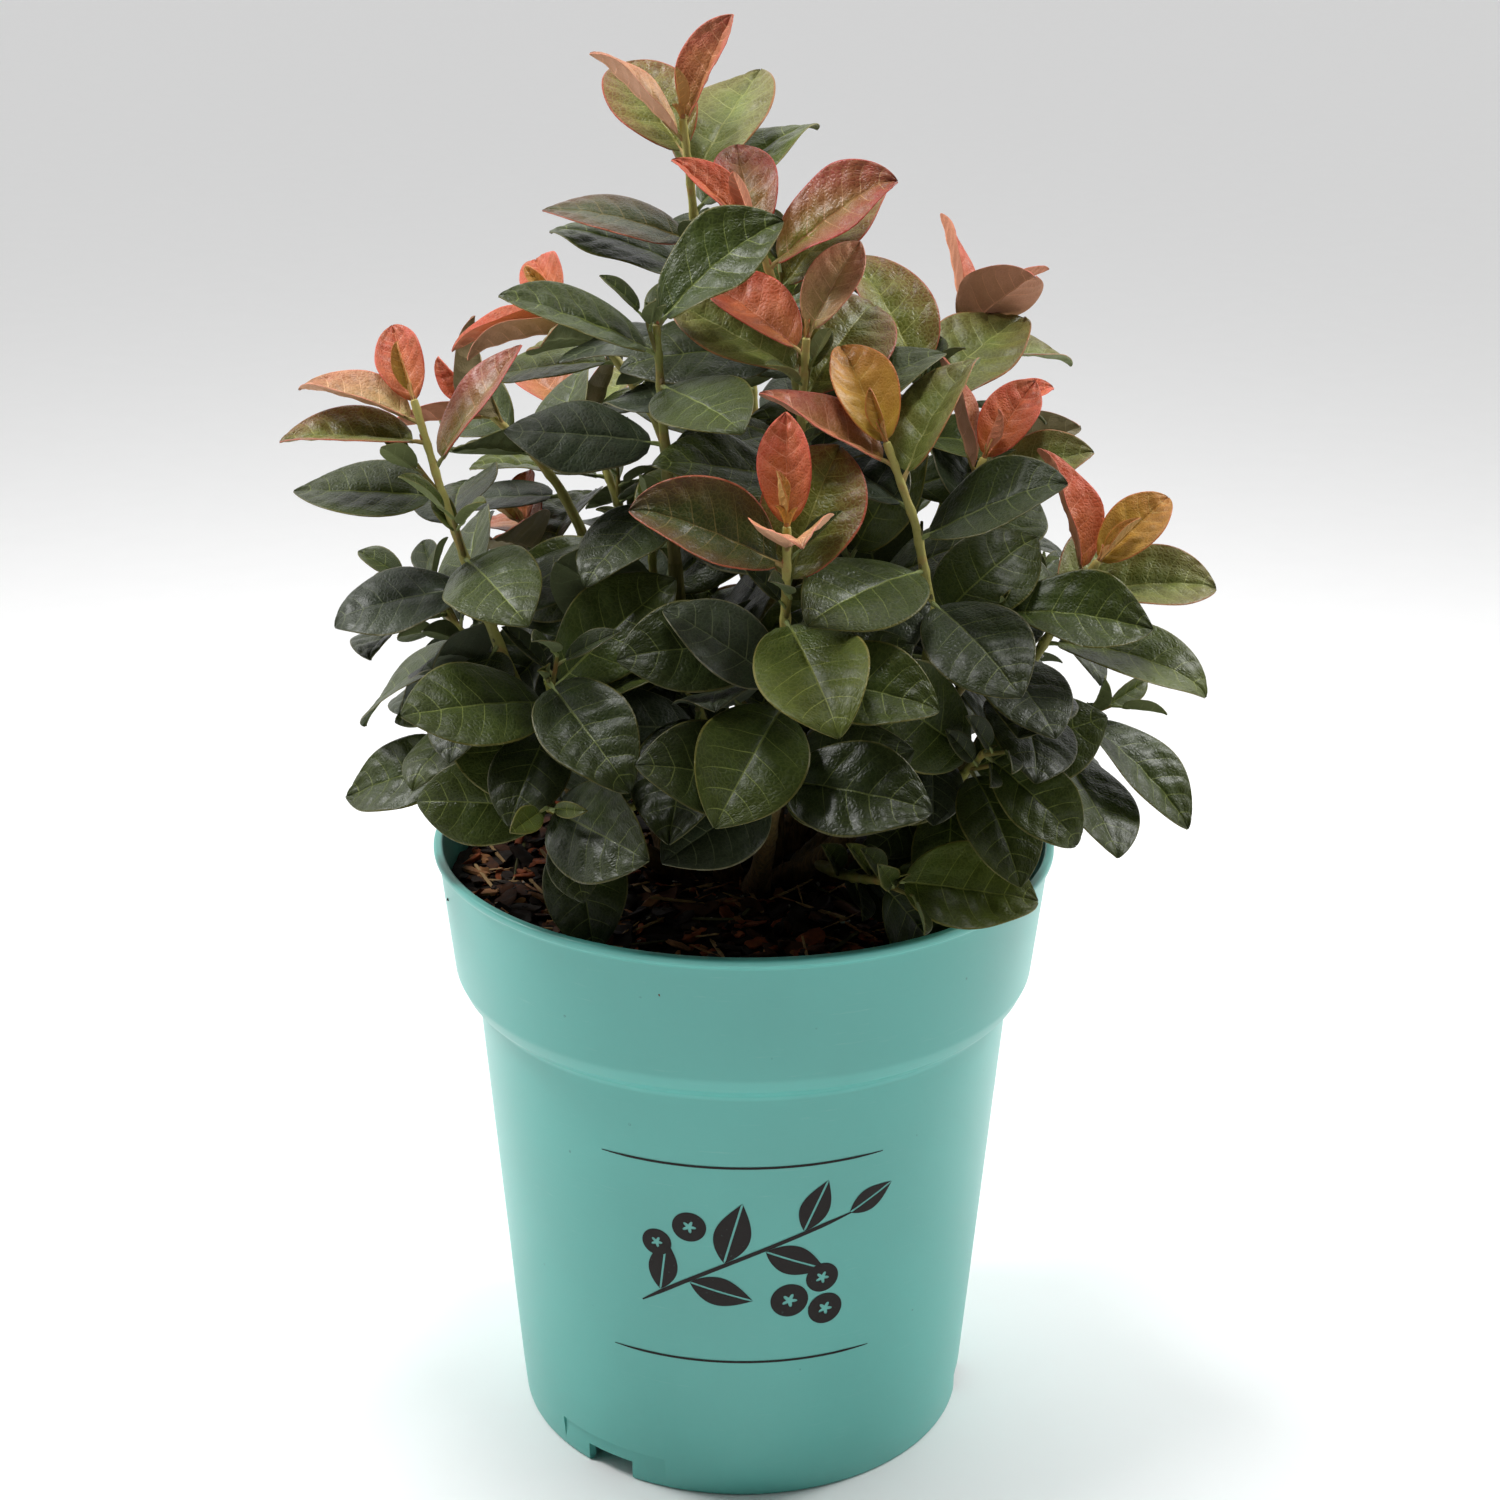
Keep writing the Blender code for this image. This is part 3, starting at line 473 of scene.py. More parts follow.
def shoot_path(shoot, canes, steps=SHOOT_RINGS):
    """The stem of a shoot from just clear of its cane to its tip, and its foot's direction."""
    start, way = along_path(cane_path(canes[shoot.cane]), shoot.along)
    tip = Vector(shoot.tip)
    reach = (tip - start).length
    if shoot.along >= 1.0:
        foot_way, first = way, way
        start = start + way * SEAT
    else:
        foot_way = square_to(tip - start, way)
        radius = CANE_FOOT_RADIUS + (CANE_TIP_RADIUS - CANE_FOOT_RADIUS) * shoot.along
        start = start + foot_way * (radius + SEAT)
        first = foot_way * 0.6 + way * 0.8
    return bezier(start, start + first * reach * 0.5, tip, steps), foot_way


def nearest_foot(tip, canes, found):
    """The cane and the share of its length from which a shoot best reaches a tip."""
    best = None
    for cane in canes.values():
        path = cane_path(cane)
        for share in FILL_SHARES:
            foot = along_path(path, share)[0]
            cost = abs((tip - foot).length - FILL_STEM) + 2.5 * max(0.0, foot.z + FILL_RISE - tip.z)
            taken = any(s.cane == cane.name and abs(s.along - share) < 0.1 for s in found)
            if not taken and (best is None or cost < best[0]):
                best = (cost, cane.name, share)
    return best[1:]


def fill_shoots(canes):
    """The shoots that fill the crown all round, each on the cane that passes nearest."""
    placed = [Vector(shoot.tip) for shoot in SHOOTS]
    found = []
    for row, (height, reach, count) in enumerate(FILL_RINGS):
        for j in range(count):
            bearing = (GOLDEN * row + 360.0 * j / count) % 360.0
            tip = on_bearing(bearing, reach, height + 9.0 * math.sin(5.0 * j + row))
            in_front = OPEN_FRONT[0] < bearing < OPEN_FRONT[1] and tip.z < OPEN_HEIGHT
            near = min((tip - other).length for other in placed) < FILL_CLEAR
            if in_front or near or len(found) == FILL_MOST:
                continue
            placed.append(tip)
            young = len(found) % 3 == 1 and tip.y > 0 and height > FILL_YOUNG_HEIGHT
            found.append(Shoot(
                f"shoot_fill_{len(found) + 1:02d}",
                *nearest_foot(tip, canes, found),
                tip=tuple(tip),
                leaves=FILL_LEAVES,
                turns=(bearing + 60,),
                youth=FILL_YOUTH if young else 0.0,
                size=FILL_SIZE,
                close=FILL_CLOSE,
            ))
    return found


def leaf_on(dice, point, way, bearing, age, size, pitch_more):
    """One leaf of a shoot: how it stands, and its shape at that age."""
    level = on_bearing(bearing, 1.0)
    out = level - way * level.dot(way)
    out = out.normalized() if out.length > 0.2 else around(way, math.radians(bearing))
    droop = FRONT_DROOP * max(0.0, -out.y) * min(age / 5, 1.0)
    pitch = math.radians(by_age(AGE_PITCH, age) + dice["pitch"] + pitch_more + droop)
    heading = way * math.cos(pitch) + out * math.sin(pitch)
    heading.z = max(heading.z, LOWEST_HEADING)
    heading = heading.normalized()
    face = way * math.sin(pitch) - out * math.cos(pitch)
    lean = Vector((point.x, point.y, 0.0)) * (LEAN_OUT / RIM_RADIUS) - Vector((0, LEAN_FRONT, 0))
    lean = lean * min(age / LEAN_AGE, 1.0) * (1.0 + dice["pitch"] / LEAN_SPREAD)
    face = square_to(face + lean + Vector((0, 0, min(age / 8, 0.7))), heading)
    length = by_age(AGE_LENGTH, age) * size * dice["length"]
    return Leaf(
        root=tuple(point),
        heading=tuple(heading),
        face=tuple(face),
        length=length,
        width=length * by_age(AGE_WIDTH, age) * dice["width"],
        fold=math.radians(by_age(AGE_FOLD, age)),
        curl=math.radians(by_age(AGE_CURL, age) + dice["curl"]),
        bend=math.radians(by_age(AGE_BEND, age) + dice["bend"]),
        flick=math.radians(dice["flick"]),
        twist=math.radians(dice["twist"]),
        wave=dice["wave"],
        age=age,
    )


def leaf_dice(chance):
    """What chance decides for one leaf, always drawn in this order."""
    return {
        "pitch": chance.uniform(-8, 8),
        "length": chance.uniform(0.9, 1.08),
        "width": chance.uniform(0.92, 1.1),
        "curl": chance.uniform(-10, 10),
        "bend": chance.uniform(-12, 16),
        "flick": chance.uniform(-10, 45),
        "twist": chance.uniform(-22, 22),
        "wave": chance.uniform(0.0, 0.09),
    }


def tip_age(shoot):
    """The age of a shoot's topmost leaf: 0 on new growth."""
    return (1.0 - shoot.youth) * GROWN_TIP_AGE


def grow_leaves(shoot, path, crowd):
    """Leaves down a stem by the rule of age, each turned or left out where it meets anything."""
    chance = random.Random(shoot.name)
    total = path_length(path)
    own, placed, leaves, down = Crowd(), [], [], TOP_LEAF_DROP
    for k in range(shoot.leaves):
        age = k + tip_age(shoot)
        turns = shoot.turns
        bearing = turns[k] if k < len(turns) else turns[-1] + GOLDEN * (k - len(turns) + 1)
        dice = leaf_dice(chance)
        if down > total - LEAST_BARE_STEM:
            break
        point, way = along_path(path, 1.0 - down / total)
        down += by_age(AGE_STEP, age) * shoot.size * shoot.close
        for turned_by, tipped, scale in TRIES:
            leaf = leaf_on(dice, point, way, bearing + turned_by, age, shoot.size * scale, tipped)
            vertices, faces = leaf_solid(leaf, TEST_SWELL)
            if in_opening(vertices):
                continue
            past_root = [face for face in faces if 0 not in face]
            if not own.meets(vertices, past_root) and not crowd.meets(vertices, faces, but=(shoot.name,)):
                own.add(shoot.name, vertices, past_root)
                placed.append((vertices, faces))
                leaves.append(leaf)
                break
    for vertices, faces in placed:
        crowd.add(shoot.name, vertices, faces)
    return leaves


def solid_of(node):
    """The points, in millimetres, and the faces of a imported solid."""
    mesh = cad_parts[node].data
    return [v.co / METRE for v in mesh.vertices], [tuple(p.vertices) for p in mesh.polygons]


Grown = namedtuple("Grown", "shoot path foot_way leaves")


@functools.cache
def grow():
    """The whole plant: every shoot that has room, with its stem and leaves, and the crowd."""
    canes = {cane.name: cane for cane in CANES}
    crowd = Crowd()
    crowd.add("pot", *solid_of("pot"))
    crowd.add("compost", *solid_of("compost"))
    for cane in CANES:
        path = cane_path(cane)
        lifted = [path[0] + Vector((0, 0, 1))] + path[1:]
        radii = [radius + STEM_ROOM for radius in cane_radii()]
        crowd.add(cane.name, *tube(lifted, radii, CANE_SIDES, Vector((0, 0, 1))))
    stems = []
    stem_radii = [
        radius + STEM_ROOM for radius in tapered(SHOOT_FOOT_RADIUS, SHOOT_TIP_RADIUS, SHOOT_RINGS)
    ]
    for shoot in list(SHOOTS) + fill_shoots(canes):
        path, foot_way = shoot_path(shoot, canes)
        stem = tube(path, stem_radii, SHOOT_SIDES, foot_way)
        if crowd.meets(*stem, but=(shoot.cane,)):
            continue
        crowd.add(shoot.name, *stem)
        stems.append((shoot, path, foot_way))
    grown = [Grown(*stem, grow_leaves(stem[0], stem[1], crowd)) for stem in stems]
    return grown, crowd


# Meshes

Part = namedtuple("Part", "places quads slots maps")


def settings_of(group):
    """What the sidebar sets for one group of pieces."""
    return getattr(bpy.context.scene, PREFIX + group)


def set_out(name, data):
    """A new object in the scene."""
    made = bpy.data.objects.new(name, data)
    bpy.context.scene.collection.objects.link(made)
    return made


def full_turn(sides):
    """Evenly spaced angles all the way round."""
    return np.linspace(0, 2 * math.pi, sides, endpoint=False)


def unit(ways):
    """A table of directions, each made one long."""
    return ways / np.linalg.norm(ways, axis=-1, keepdims=True)


def on_map(first, second):
    """A table of map places from two tables."""
    return np.stack(np.broadcast_arrays(first, second), axis=-1)


def smooth(mesh, sharp):
    """Shades a mesh smoothly, but for edges sharper than this."""
    mesh.shade_smooth()
    mesh.set_sharp_from_angle(angle=math.radians(sharp))


def sheet(places, slots=0, wrap=False, maps=None):
    """A sheet of quads over a table of places, rows by columns; wrap joins its two sides."""
    rows, columns = places.shape[:2]
    index = np.arange(rows * columns).reshape(rows, columns)
    if wrap:
        index = np.hstack([index, index[:, :1]])
    quads = np.stack([index[:-1, :-1], index[:-1, 1:], index[1:, 1:], index[1:, :-1]], axis=-1)
    quads = quads.reshape(-1, 4)
    slots = np.broadcast_to(slots, (rows - 1, index.shape[1] - 1)).ravel()
    maps = np.zeros((rows, columns, 2)) if maps is None else maps
    return Part(places.reshape(-1, 3), quads, slots, maps.reshape(-1, 2))


def joined(parts):
    """Several parts as one."""
    starts = np.cumsum([0] + [len(part.places) for part in parts[:-1]])
    return Part(
        np.concatenate([part.places for part in parts]),
        np.concatenate([part.quads + start for part, start in zip(parts, starts)]),
        np.concatenate([part.slots for part in parts]),
        np.concatenate([part.maps for part in parts]),
    )


def add_piece(name, parts, looks, nodes=(), sharp=40.0):
    """A piece of the model from parts in millimetres, which rides on the plant's body."""
    whole = joined(parts)
    mesh = bpy.data.meshes.new(name)
    mesh.vertices.add(len(whole.places))
    mesh.vertices.foreach_set("co", (whole.places * METRE).astype(np.float32).ravel())
    mesh.loops.add(whole.quads.size)
    mesh.loops.foreach_set("vertex_index", whole.quads.astype(np.int32).ravel())
    mesh.polygons.add(len(whole.quads))
    mesh.polygons.foreach_set("loop_start", np.arange(0, whole.quads.size, 4, dtype=np.int32))
    mesh.polygons.foreach_set("material_index", whole.slots.astype(np.int32))
    layer = mesh.uv_layers.new(name="lay")
    layer.uv.foreach_set("vector", whole.maps[whole.quads.ravel()].astype(np.float32).ravel())
    mesh.update(calc_edges=True)
    mesh.validate()
    for look in looks:
        mesh.materials.append(look)
    smooth(mesh, sharp)
    made = set_out(name, mesh)
    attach(made, BODY)
    if nodes:
        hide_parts(*nodes)
    return made


def fine_tube(points, radii, sides, slots=0):
    """A round tube along points; radii may be one number a ring or a table, rings by sides."""
    points = np.array([tuple(p) for p in points])
    ahead = unit(np.gradient(points, axis=0))
    side = np.cross(ahead[0], (0, 0, 1.0))
    side = side if np.linalg.norm(side) > 0.05 else np.array((1.0, 0, 0))
    sides_at = []
    for way in ahead:
        side = side - way * (side @ way)
        side = side / np.linalg.norm(side)
        sides_at.append(side)
    a = np.array(sides_at)
    b = np.cross(ahead, a)
    turn = full_turn(sides)
    radii = np.asarray(radii, float)
    radii = radii[:, None] if radii.ndim == 1 else radii
    ring = a[:, None] * np.cos(turn)[None, :, None] + b[:, None] * np.sin(turn)[None, :, None]
    places = points[:, None] + ring * radii[..., None]
    along = np.concatenate([[0], np.cumsum(np.linalg.norm(np.diff(points, axis=0), axis=1))])
    maps = on_map(along[:, None] / 100, turn[None, :] / (2 * math.pi))
    return sheet(places, slots, wrap=True, maps=maps)


END_SWELL = 0.5


def rounded(points, radii):
    """Closes a tube's ends: adds small rings that shrink to near nothing past each end."""
    points, radii = [Vector(p) for p in points], list(radii)
    foot, tip = radii[0], radii[-1]
    first = (points[0] - points[1]).normalized() * foot * END_SWELL
    last = (points[-1] - points[-2]).normalized() * tip * END_SWELL
    before = [points[0] + first, points[0] + first * 0.8]
    after = [points[-1] + last * 0.8, points[-1] + last]
    return before + points + after, [foot * 0.02, foot * 0.6] + radii + [tip * 0.6, tip * 0.02]


# Materials


class Signal:
    """The output of a node. Python arithmetic on it adds Math nodes."""

    def __init__(self, nodes, socket):
        self.nodes, self.socket = nodes, socket

    def maths(self, operation, first, second):
        return self.nodes.add("ShaderNodeMath", {"operation": operation}, {0: first, 1: second})

    def __add__(self, other):
        return self.maths("ADD", self, other)

    def __radd__(self, other):
        return self.maths("ADD", other, self)

    def __sub__(self, other):
        return self.maths("SUBTRACT", self, other)

    def __rsub__(self, other):
        return self.maths("SUBTRACT", other, self)

    def __mul__(self, other):
        return self.maths("MULTIPLY", self, other)

    def __rmul__(self, other):
        return self.maths("MULTIPLY", other, self)

    def __abs__(self):
        return self.maths("ABSOLUTE", self, 0.0)

    def fract(self):
        return self.maths("FRACT", self, 0.0)

    def ramp(self, low, high, to_low=0.0, to_high=1.0):
        """Straight from one range to another, and no further."""
        sockets = {0: self, 1: low, 2: high, 3: to_low, 4: to_high}
        return self.nodes.add("ShaderNodeMapRange", {"clamp": True}, sockets)


class Nodes:
    """The node tree of a material or of the world."""

    def __init__(self, tree):
        self.tree = tree

    def add(self, kind, settings=None, sockets=None, output=0):
        """Adds a node: first its settings, then the values or links of its sockets."""
        made = self.tree.nodes.new(kind)
        for key, value in (settings or {}).items():
            setattr(made, key, value)
        for key, value in (sockets or {}).items():
            self.put(made.inputs[key], value)
        return Signal(self, made.outputs[output])

    def put(self, socket, value):
        """Links a signal to a socket, or sets its constant."""
        if isinstance(value, Signal):
            self.tree.links.new(value.socket, socket)
        elif isinstance(value, tuple) and len(value) == 3 and socket.type == "RGBA":
            socket.default_value = (*value, 1.0)
        else:
            socket.default_value = value

    def mix(self, factor, first, second):
        """Between two colours."""
        settings = {"data_type": "RGBA"}
        return self.add("ShaderNodeMix", settings, {0: factor, 6: first, 7: second}, output=2)

    def places(self, scale=(1.0, 1.0, 1.0), source="Object"):
        """Places on the surface, in metres, or on its map with source UV."""
        found = self.add("ShaderNodeTexCoord", output=source)
        return self.add("ShaderNodeVectorMath", {"operation": "MULTIPLY"}, {0: found, 1: scale})

    def part(self, places, axis):
        """One number of a place: axis is 0, 1 or 2."""
        return self.add("ShaderNodeSeparateXYZ", {}, {0: places}, output=axis)

    def grain(self, places, scale, detail=3.0, rough=0.55):
        """Soft noise from 0 to 1."""
        sockets = {"Vector": places, "Scale": scale, "Detail": detail, "Roughness": rough}
        return self.add("ShaderNodeTexNoise", {}, sockets)

    def cells(self, places, scale, feature="F1"):
        """How far it is to the middle of the nearest cell, or to its edge."""
        return self.add("ShaderNodeTexVoronoi", {"feature": feature}, {"Vector": places, "Scale": scale})


class Look(Nodes):
    """One finish: a Principled shader, its constants and what varies over it."""

    def __init__(self, name, **constants):
        self.material = bpy.data.materials.new(name)
        self.material.use_nodes = True
        super().__init__(self.material.node_tree)
        self.shader = self.tree.nodes["Principled BSDF"]
        for key, value in constants.items():
            self.shader.inputs[key.replace("_", " ").title().replace("Ior", "IOR")].default_value = value

    def colour(self, value):
        """What gives the surface its colour."""
        self.put(self.shader.inputs["Base Color"], value)

    def roughness(self, value):
        """What gives the surface its roughness."""
        self.put(self.shader.inputs["Roughness"], value)

    def relief(self, height, depth, strength=1.0):
        """Bump: height from 0 to 1, and how deep that is, in metres."""
        sockets = {"Height": height, "Distance": depth, "Strength": strength}
        self.put(self.shader.inputs["Normal"], self.add("ShaderNodeBump", {}, sockets))


def shade(colour, by):
    """A colour made darker or lighter."""
    return tuple(min(channel * by, 1.0) for channel in colour)


def plastic_look():
    """Satin moulded plastic with faint flow marks, specks and scuffs."""
    look = Look("pot_plastic", coat_roughness=0.28, coat_weight=0.15)
    colour = tuple(settings_of("pot").colour)
    at = look.places()
    cloud = look.grain(at, 14.0, 2.0)
    scuff = look.grain(look.places((60.0, 60.0, 900.0)), 1.0, 4.0, 0.7)
    speck = look.cells(at, 90.0)
    dust = look.grain(at, 420.0, 2.0)
    spots = speck.ramp(0.035, 0.06, 1.0, 0.0) * dust.ramp(0.5, 0.6)
    tone = look.mix(cloud.ramp(0.3, 0.7), shade(colour, 0.95), shade(colour, 1.05))
    marked = look.mix(scuff.ramp(0.62, 0.8) * 0.12, tone, (0.62, 0.78, 0.74))
    look.colour(look.mix(spots * 0.6, marked, shade(colour, 0.3)))
    look.roughness(cloud.ramp(0.25, 0.75, 0.36, 0.44) + scuff.ramp(0.6, 0.8, 0.0, 0.12))
    look.relief(look.grain(at, 1500.0, 2.0), 0.00005, 0.35)
    return look.material


def print_look():
    """Flat printing ink, worn thin in small spots."""
    look = Look("pot_ink", specular_ior_level=0.2)
    worn = look.grain(look.places(), 700.0, 3.0)
    look.colour(look.mix(worn.ramp(0.66, 0.74) * 0.35, (0.012, 0.008, 0.007), (0.06, 0.1, 0.09)))
    look.roughness(worn.ramp(0.3, 0.7, 0.42, 0.55))
    look.relief(worn, 0.00003, 0.4)
    return look.material


def earth_look():
    """Dark crumbly compost in two tones."""
    look = Look("compost_earth", specular_ior_level=0.2)
    at = look.places()
    coarse = look.grain(at, 260.0, 5.0, 0.65)
    fine = look.grain(at, 1170.0, 3.0, 0.6)
    tone = (coarse * 0.65 + fine * 0.35).ramp(0.36, 0.64)
    look.colour(look.mix(tone, (0.004, 0.0022, 0.0012), (0.024, 0.011, 0.005)))
    look.roughness(fine.ramp(0.3, 0.7, 0.8, 0.92))
    look.relief(coarse * 0.6 + fine * 0.4, 0.0006)
    return look.material


def chip_look(name, dark, light):
    """A flake of bark or wood: fibres that run along it."""
    look = Look(name, specular_ior_level=0.2)
    fibres = look.grain(look.places((9.0, 9.0, 150.0), "UV"), 1.0, 4.0, 0.6)
    blot = look.grain(look.places(), 330.0, 3.0)
    look.colour(look.mix((fibres * 0.6 + blot * 0.4).ramp(0.34, 0.64), dark, light))
    look.roughness(blot.ramp(0.3, 0.7, 0.7, 0.9))
    look.relief(blot, 0.0004)
    return look.material


def bark_look():
    """Thin bark: brown at the foot, greener above, cracked lengthwise."""
    props = settings_of("canes")
    look = Look("cane_bark", specular_ior_level=0.2)
    at = look.places()
    streak = look.grain(look.places((900.0, 900.0, 120.0)), 1.0, 4.0, 0.6)
    patch = look.grain(at, 90.0, 3.0)
    fibres = streak.ramp(0.35, 0.65)
    rise = (look.part(at, 2) + patch * 0.05).ramp(0.215, 0.33)
    bark = look.mix(fibres, shade(props.bark, 0.5), shade(props.bark, 1.3))
    green = look.mix(fibres, shade(props.tip, 0.7), shade(props.tip, 1.15))
    look.colour(look.mix(rise, bark, green))
    look.roughness(streak.ramp(0.3, 0.7, 0.62, 0.85))
    look.relief(streak, 0.0009)
    return look.material


# Skins: the colour at the foot and at the tip, and the blush between
SKINS = {
    "stem_new": ((0.25, 0.26, 0.06), (0.45, 0.40, 0.12), (0.42, 0.17, 0.06)),
    "stem_grown": ((0.14, 0.12, 0.03), (0.23, 0.24, 0.055), (0.26, 0.12, 0.04)),
    "stalk_new": ((0.38, 0.28, 0.10), (0.42, 0.30, 0.10), (0.42, 0.13, 0.07)),
    "stalk_grown": ((0.20, 0.24, 0.08), (0.22, 0.26, 0.09), (0.24, 0.16, 0.07)),
    "bud_new": ((0.36, 0.17, 0.07), (0.42, 0.22, 0.08), (0.38, 0.10, 0.05)),
    "bud_grown": ((0.15, 0.14, 0.05), (0.20, 0.18, 0.06), (0.22, 0.09, 0.05)),
}


def stem_look(name):
    """The skin of a stem, a leaf stalk or a bud, with a blush of red here and there."""
    foot, tip, blush = SKINS[name]
    look = Look(name, specular_ior_level=0.25)
    along = look.part(look.places(source="UV"), 0)
    at = look.places()
    patch = look.grain(at, 160.0, 3.0)
    fine = look.grain(at, 1400.0, 2.0)
    skin = look.mix((along + patch * 0.3 - 0.15).ramp(0.0, 0.9), foot, tip)
    flushed = look.mix(patch.ramp(0.52, 0.72) * 0.55, skin, blush)
    look.colour(look.mix(fine.ramp(0.55, 0.75) * 0.25, flushed, shade(foot, 0.5)))
    look.roughness(fine.ramp(0.3, 0.7, 0.45, 0.6))
    look.relief(fine, 0.00015)
    return look.material


# Leaf colours. blush is how the tip's colour spreads: its start, then how much it grows
# along the leaf and towards the edge. gloss is the roughness of the upper side, and lace is
# how far its fine net of veins shows.
Tint = namedtuple("Tint", "name base tip vein rim under blush gloss lace")
TINTS = (
    Tint("amber", (0.50, 0.33, 0.045), (0.50, 0.18, 0.04), (0.58, 0.36, 0.10), (0.50, 0.15, 0.045),
         (0.55, 0.33, 0.12), (0.0, 1.0, 0.2), 0.42, 0.25),
    Tint("coral", (0.44, 0.17, 0.04), (0.50, 0.082, 0.042), (0.60, 0.22, 0.12), (0.50, 0.085, 0.045),
         (0.58, 0.24, 0.14), (0.1, 1.1, 0.4), 0.42, 0.35),
    Tint("brick", (0.34, 0.20, 0.05), (0.42, 0.095, 0.06), (0.56, 0.26, 0.14), (0.48, 0.11, 0.07),
         (0.55, 0.27, 0.17), (0.0, 1.1, 0.5), 0.42, 0.4),
    Tint("salmon", (0.42, 0.33, 0.11), (0.56, 0.20, 0.12), (0.68, 0.42, 0.22), (0.56, 0.20, 0.12),
         (0.66, 0.36, 0.22), (-0.1, 1.0, 0.5), 0.4, 0.35),
    Tint("maroon", (0.17, 0.15, 0.022), (0.29, 0.052, 0.040), (0.38, 0.20, 0.09), (0.36, 0.05, 0.032),
         (0.40, 0.21, 0.14), (-0.3, 1.2, 0.9), 0.28, 0.35),
    Tint("bronze", (0.125, 0.135, 0.022), (0.24, 0.095, 0.04), (0.26, 0.26, 0.07), (0.36, 0.07, 0.035),
         (0.32, 0.26, 0.14), (-0.6, 0.8, 1.1), 0.3, 0.5),
    Tint("olive", (0.15, 0.18, 0.04), (0.19, 0.14, 0.05), (0.29, 0.31, 0.10), (0.32, 0.13, 0.05),
         (0.28, 0.32, 0.15), (-0.5, 0.9, 0.8), 0.36, 0.4),
    Tint("dusk", (0.045, 0.055, 0.014), (0.13, 0.05, 0.028), (0.15, 0.12, 0.04), (0.34, 0.085, 0.04),
         (0.17, 0.19, 0.09), (-0.7, 0.7, 1.1), 0.28, 0.35),
    Tint("fresh", (0.068, 0.100, 0.014), (0.085, 0.098, 0.016), (0.20, 0.23, 0.05), (0.16, 0.14, 0.03),
         (0.17, 0.20, 0.08), (0.0, 0.7, 0.3), 0.36, 0.22),
    Tint("green", (0.036, 0.056, 0.010), (0.046, 0.056, 0.011), (0.15, 0.18, 0.045), (0.12, 0.11, 0.025),
         (0.13, 0.155, 0.065), (0.0, 0.7, 0.3), 0.34, 0.2),
    Tint("deep", (0.019, 0.031, 0.008), (0.026, 0.032, 0.008), (0.10, 0.12, 0.035), (0.08, 0.075, 0.02),
         (0.10, 0.12, 0.055), (0.0, 0.7, 0.3), 0.32, 0.18),
    Tint("slate", (0.030, 0.044, 0.021), (0.036, 0.043, 0.022), (0.12, 0.14, 0.07), (0.12, 0.11, 0.05),
         (0.12, 0.14, 0.09), (0.0, 0.7, 0.3), 0.4, 0.2),
)
LEAF_TILES = 2
LEAF_ROLES = ("blade", "vein", "under", "rim", "rib")
BLADE, VEIN, UNDER, RIM, RIB = range(len(LEAF_ROLES))
LEAF_COAT = 0.16
UNDER_ROUGHNESS = 0.62


def leaf_looks(tint):
    """The finishes of one kind of leaf: blade, veins, underside, rim and ribs below."""
    made = []
    for role in LEAF_ROLES:
        above = role not in ("under", "rib")
        name = f"leaf_{tint.name}_{role}"
        coat = LEAF_COAT if above else 0.0
        look = Look(name, coat_roughness=0.3, specular_ior_level=0.14, coat_weight=coat)
        spot = look.add("ShaderNodeTexCoord", output="UV")
        along = (look.part(spot, 0) * LEAF_TILES).fract()
        edge = abs((look.part(spot, 1) * LEAF_TILES).fract() * 2.0 - 1.0)
        at = look.places((1.0, 0.62, 1.0), "UV")
        cloud = look.grain(at, 9.0, 3.0)
        net = look.cells(at, 62.0, "DISTANCE_TO_EDGE")
        fine = look.grain(at, 260.0, 2.0)
        crinkle = look.grain(at, 44.0, 2.0)
        start, grows, widens = tint.blush
        flush = (along * grows + edge * widens + (cloud - 0.5) * 1.6 + start).ramp(0.0, 1.0)
        body = look.mix(flush, tint.base, tint.tip)
        lines = net.ramp(0.0, 0.1, 1.0, 0.0)
        if role == "blade":
            toned = look.mix(cloud.ramp(0.35, 0.65) * 0.5, body, shade(tint.base, 0.6))
            laced = look.mix(lines * tint.lace, toned, tint.vein)
            dust = look.cells(at, 34.0).ramp(0.03, 0.07, 1.0, 0.0) * cloud.ramp(0.5, 0.62)
            look.colour(look.mix(dust * 0.55, laced, shade(tint.under, 1.3)))
        elif role == "vein":
            pale = (1.0 - edge * 0.5 + (cloud - 0.5) * 0.4).ramp(0.0, 1.0)
            look.colour(look.mix(pale, body, tint.vein))
        elif role == "rim":
            look.colour(look.mix(cloud.ramp(0.3, 0.7, 0.55, 1.0), body, tint.rim))
        else:
            pale = shade(tint.under, 1.3) if role == "rib" else tint.under
            toned = look.mix(cloud.ramp(0.3, 0.7) * 0.35, pale, shade(pale, 0.75))
            look.colour(look.mix(lines * 0.3, toned, shade(pale, 1.25)))
        rough = tint.gloss if above else UNDER_ROUGHNESS
        look.roughness(fine.ramp(0.3, 0.7, rough - 0.07, rough + 0.1))
        depth = 0.0005 if above else -0.0003
        look.relief(crinkle * 0.6 + net.ramp(0.0, 0.3) * 0.25 + fine * 0.15, depth, 0.8)
        made.append(look.material)
    return made


# Leaf blades: the places of the first and last side vein on the rib, how far the veins sweep
# towards the tip, and how the columns of the mesh lie from the rib to the edge. The underside
# takes some of these columns, counted from the rib. Small leaves have fewer of everything.

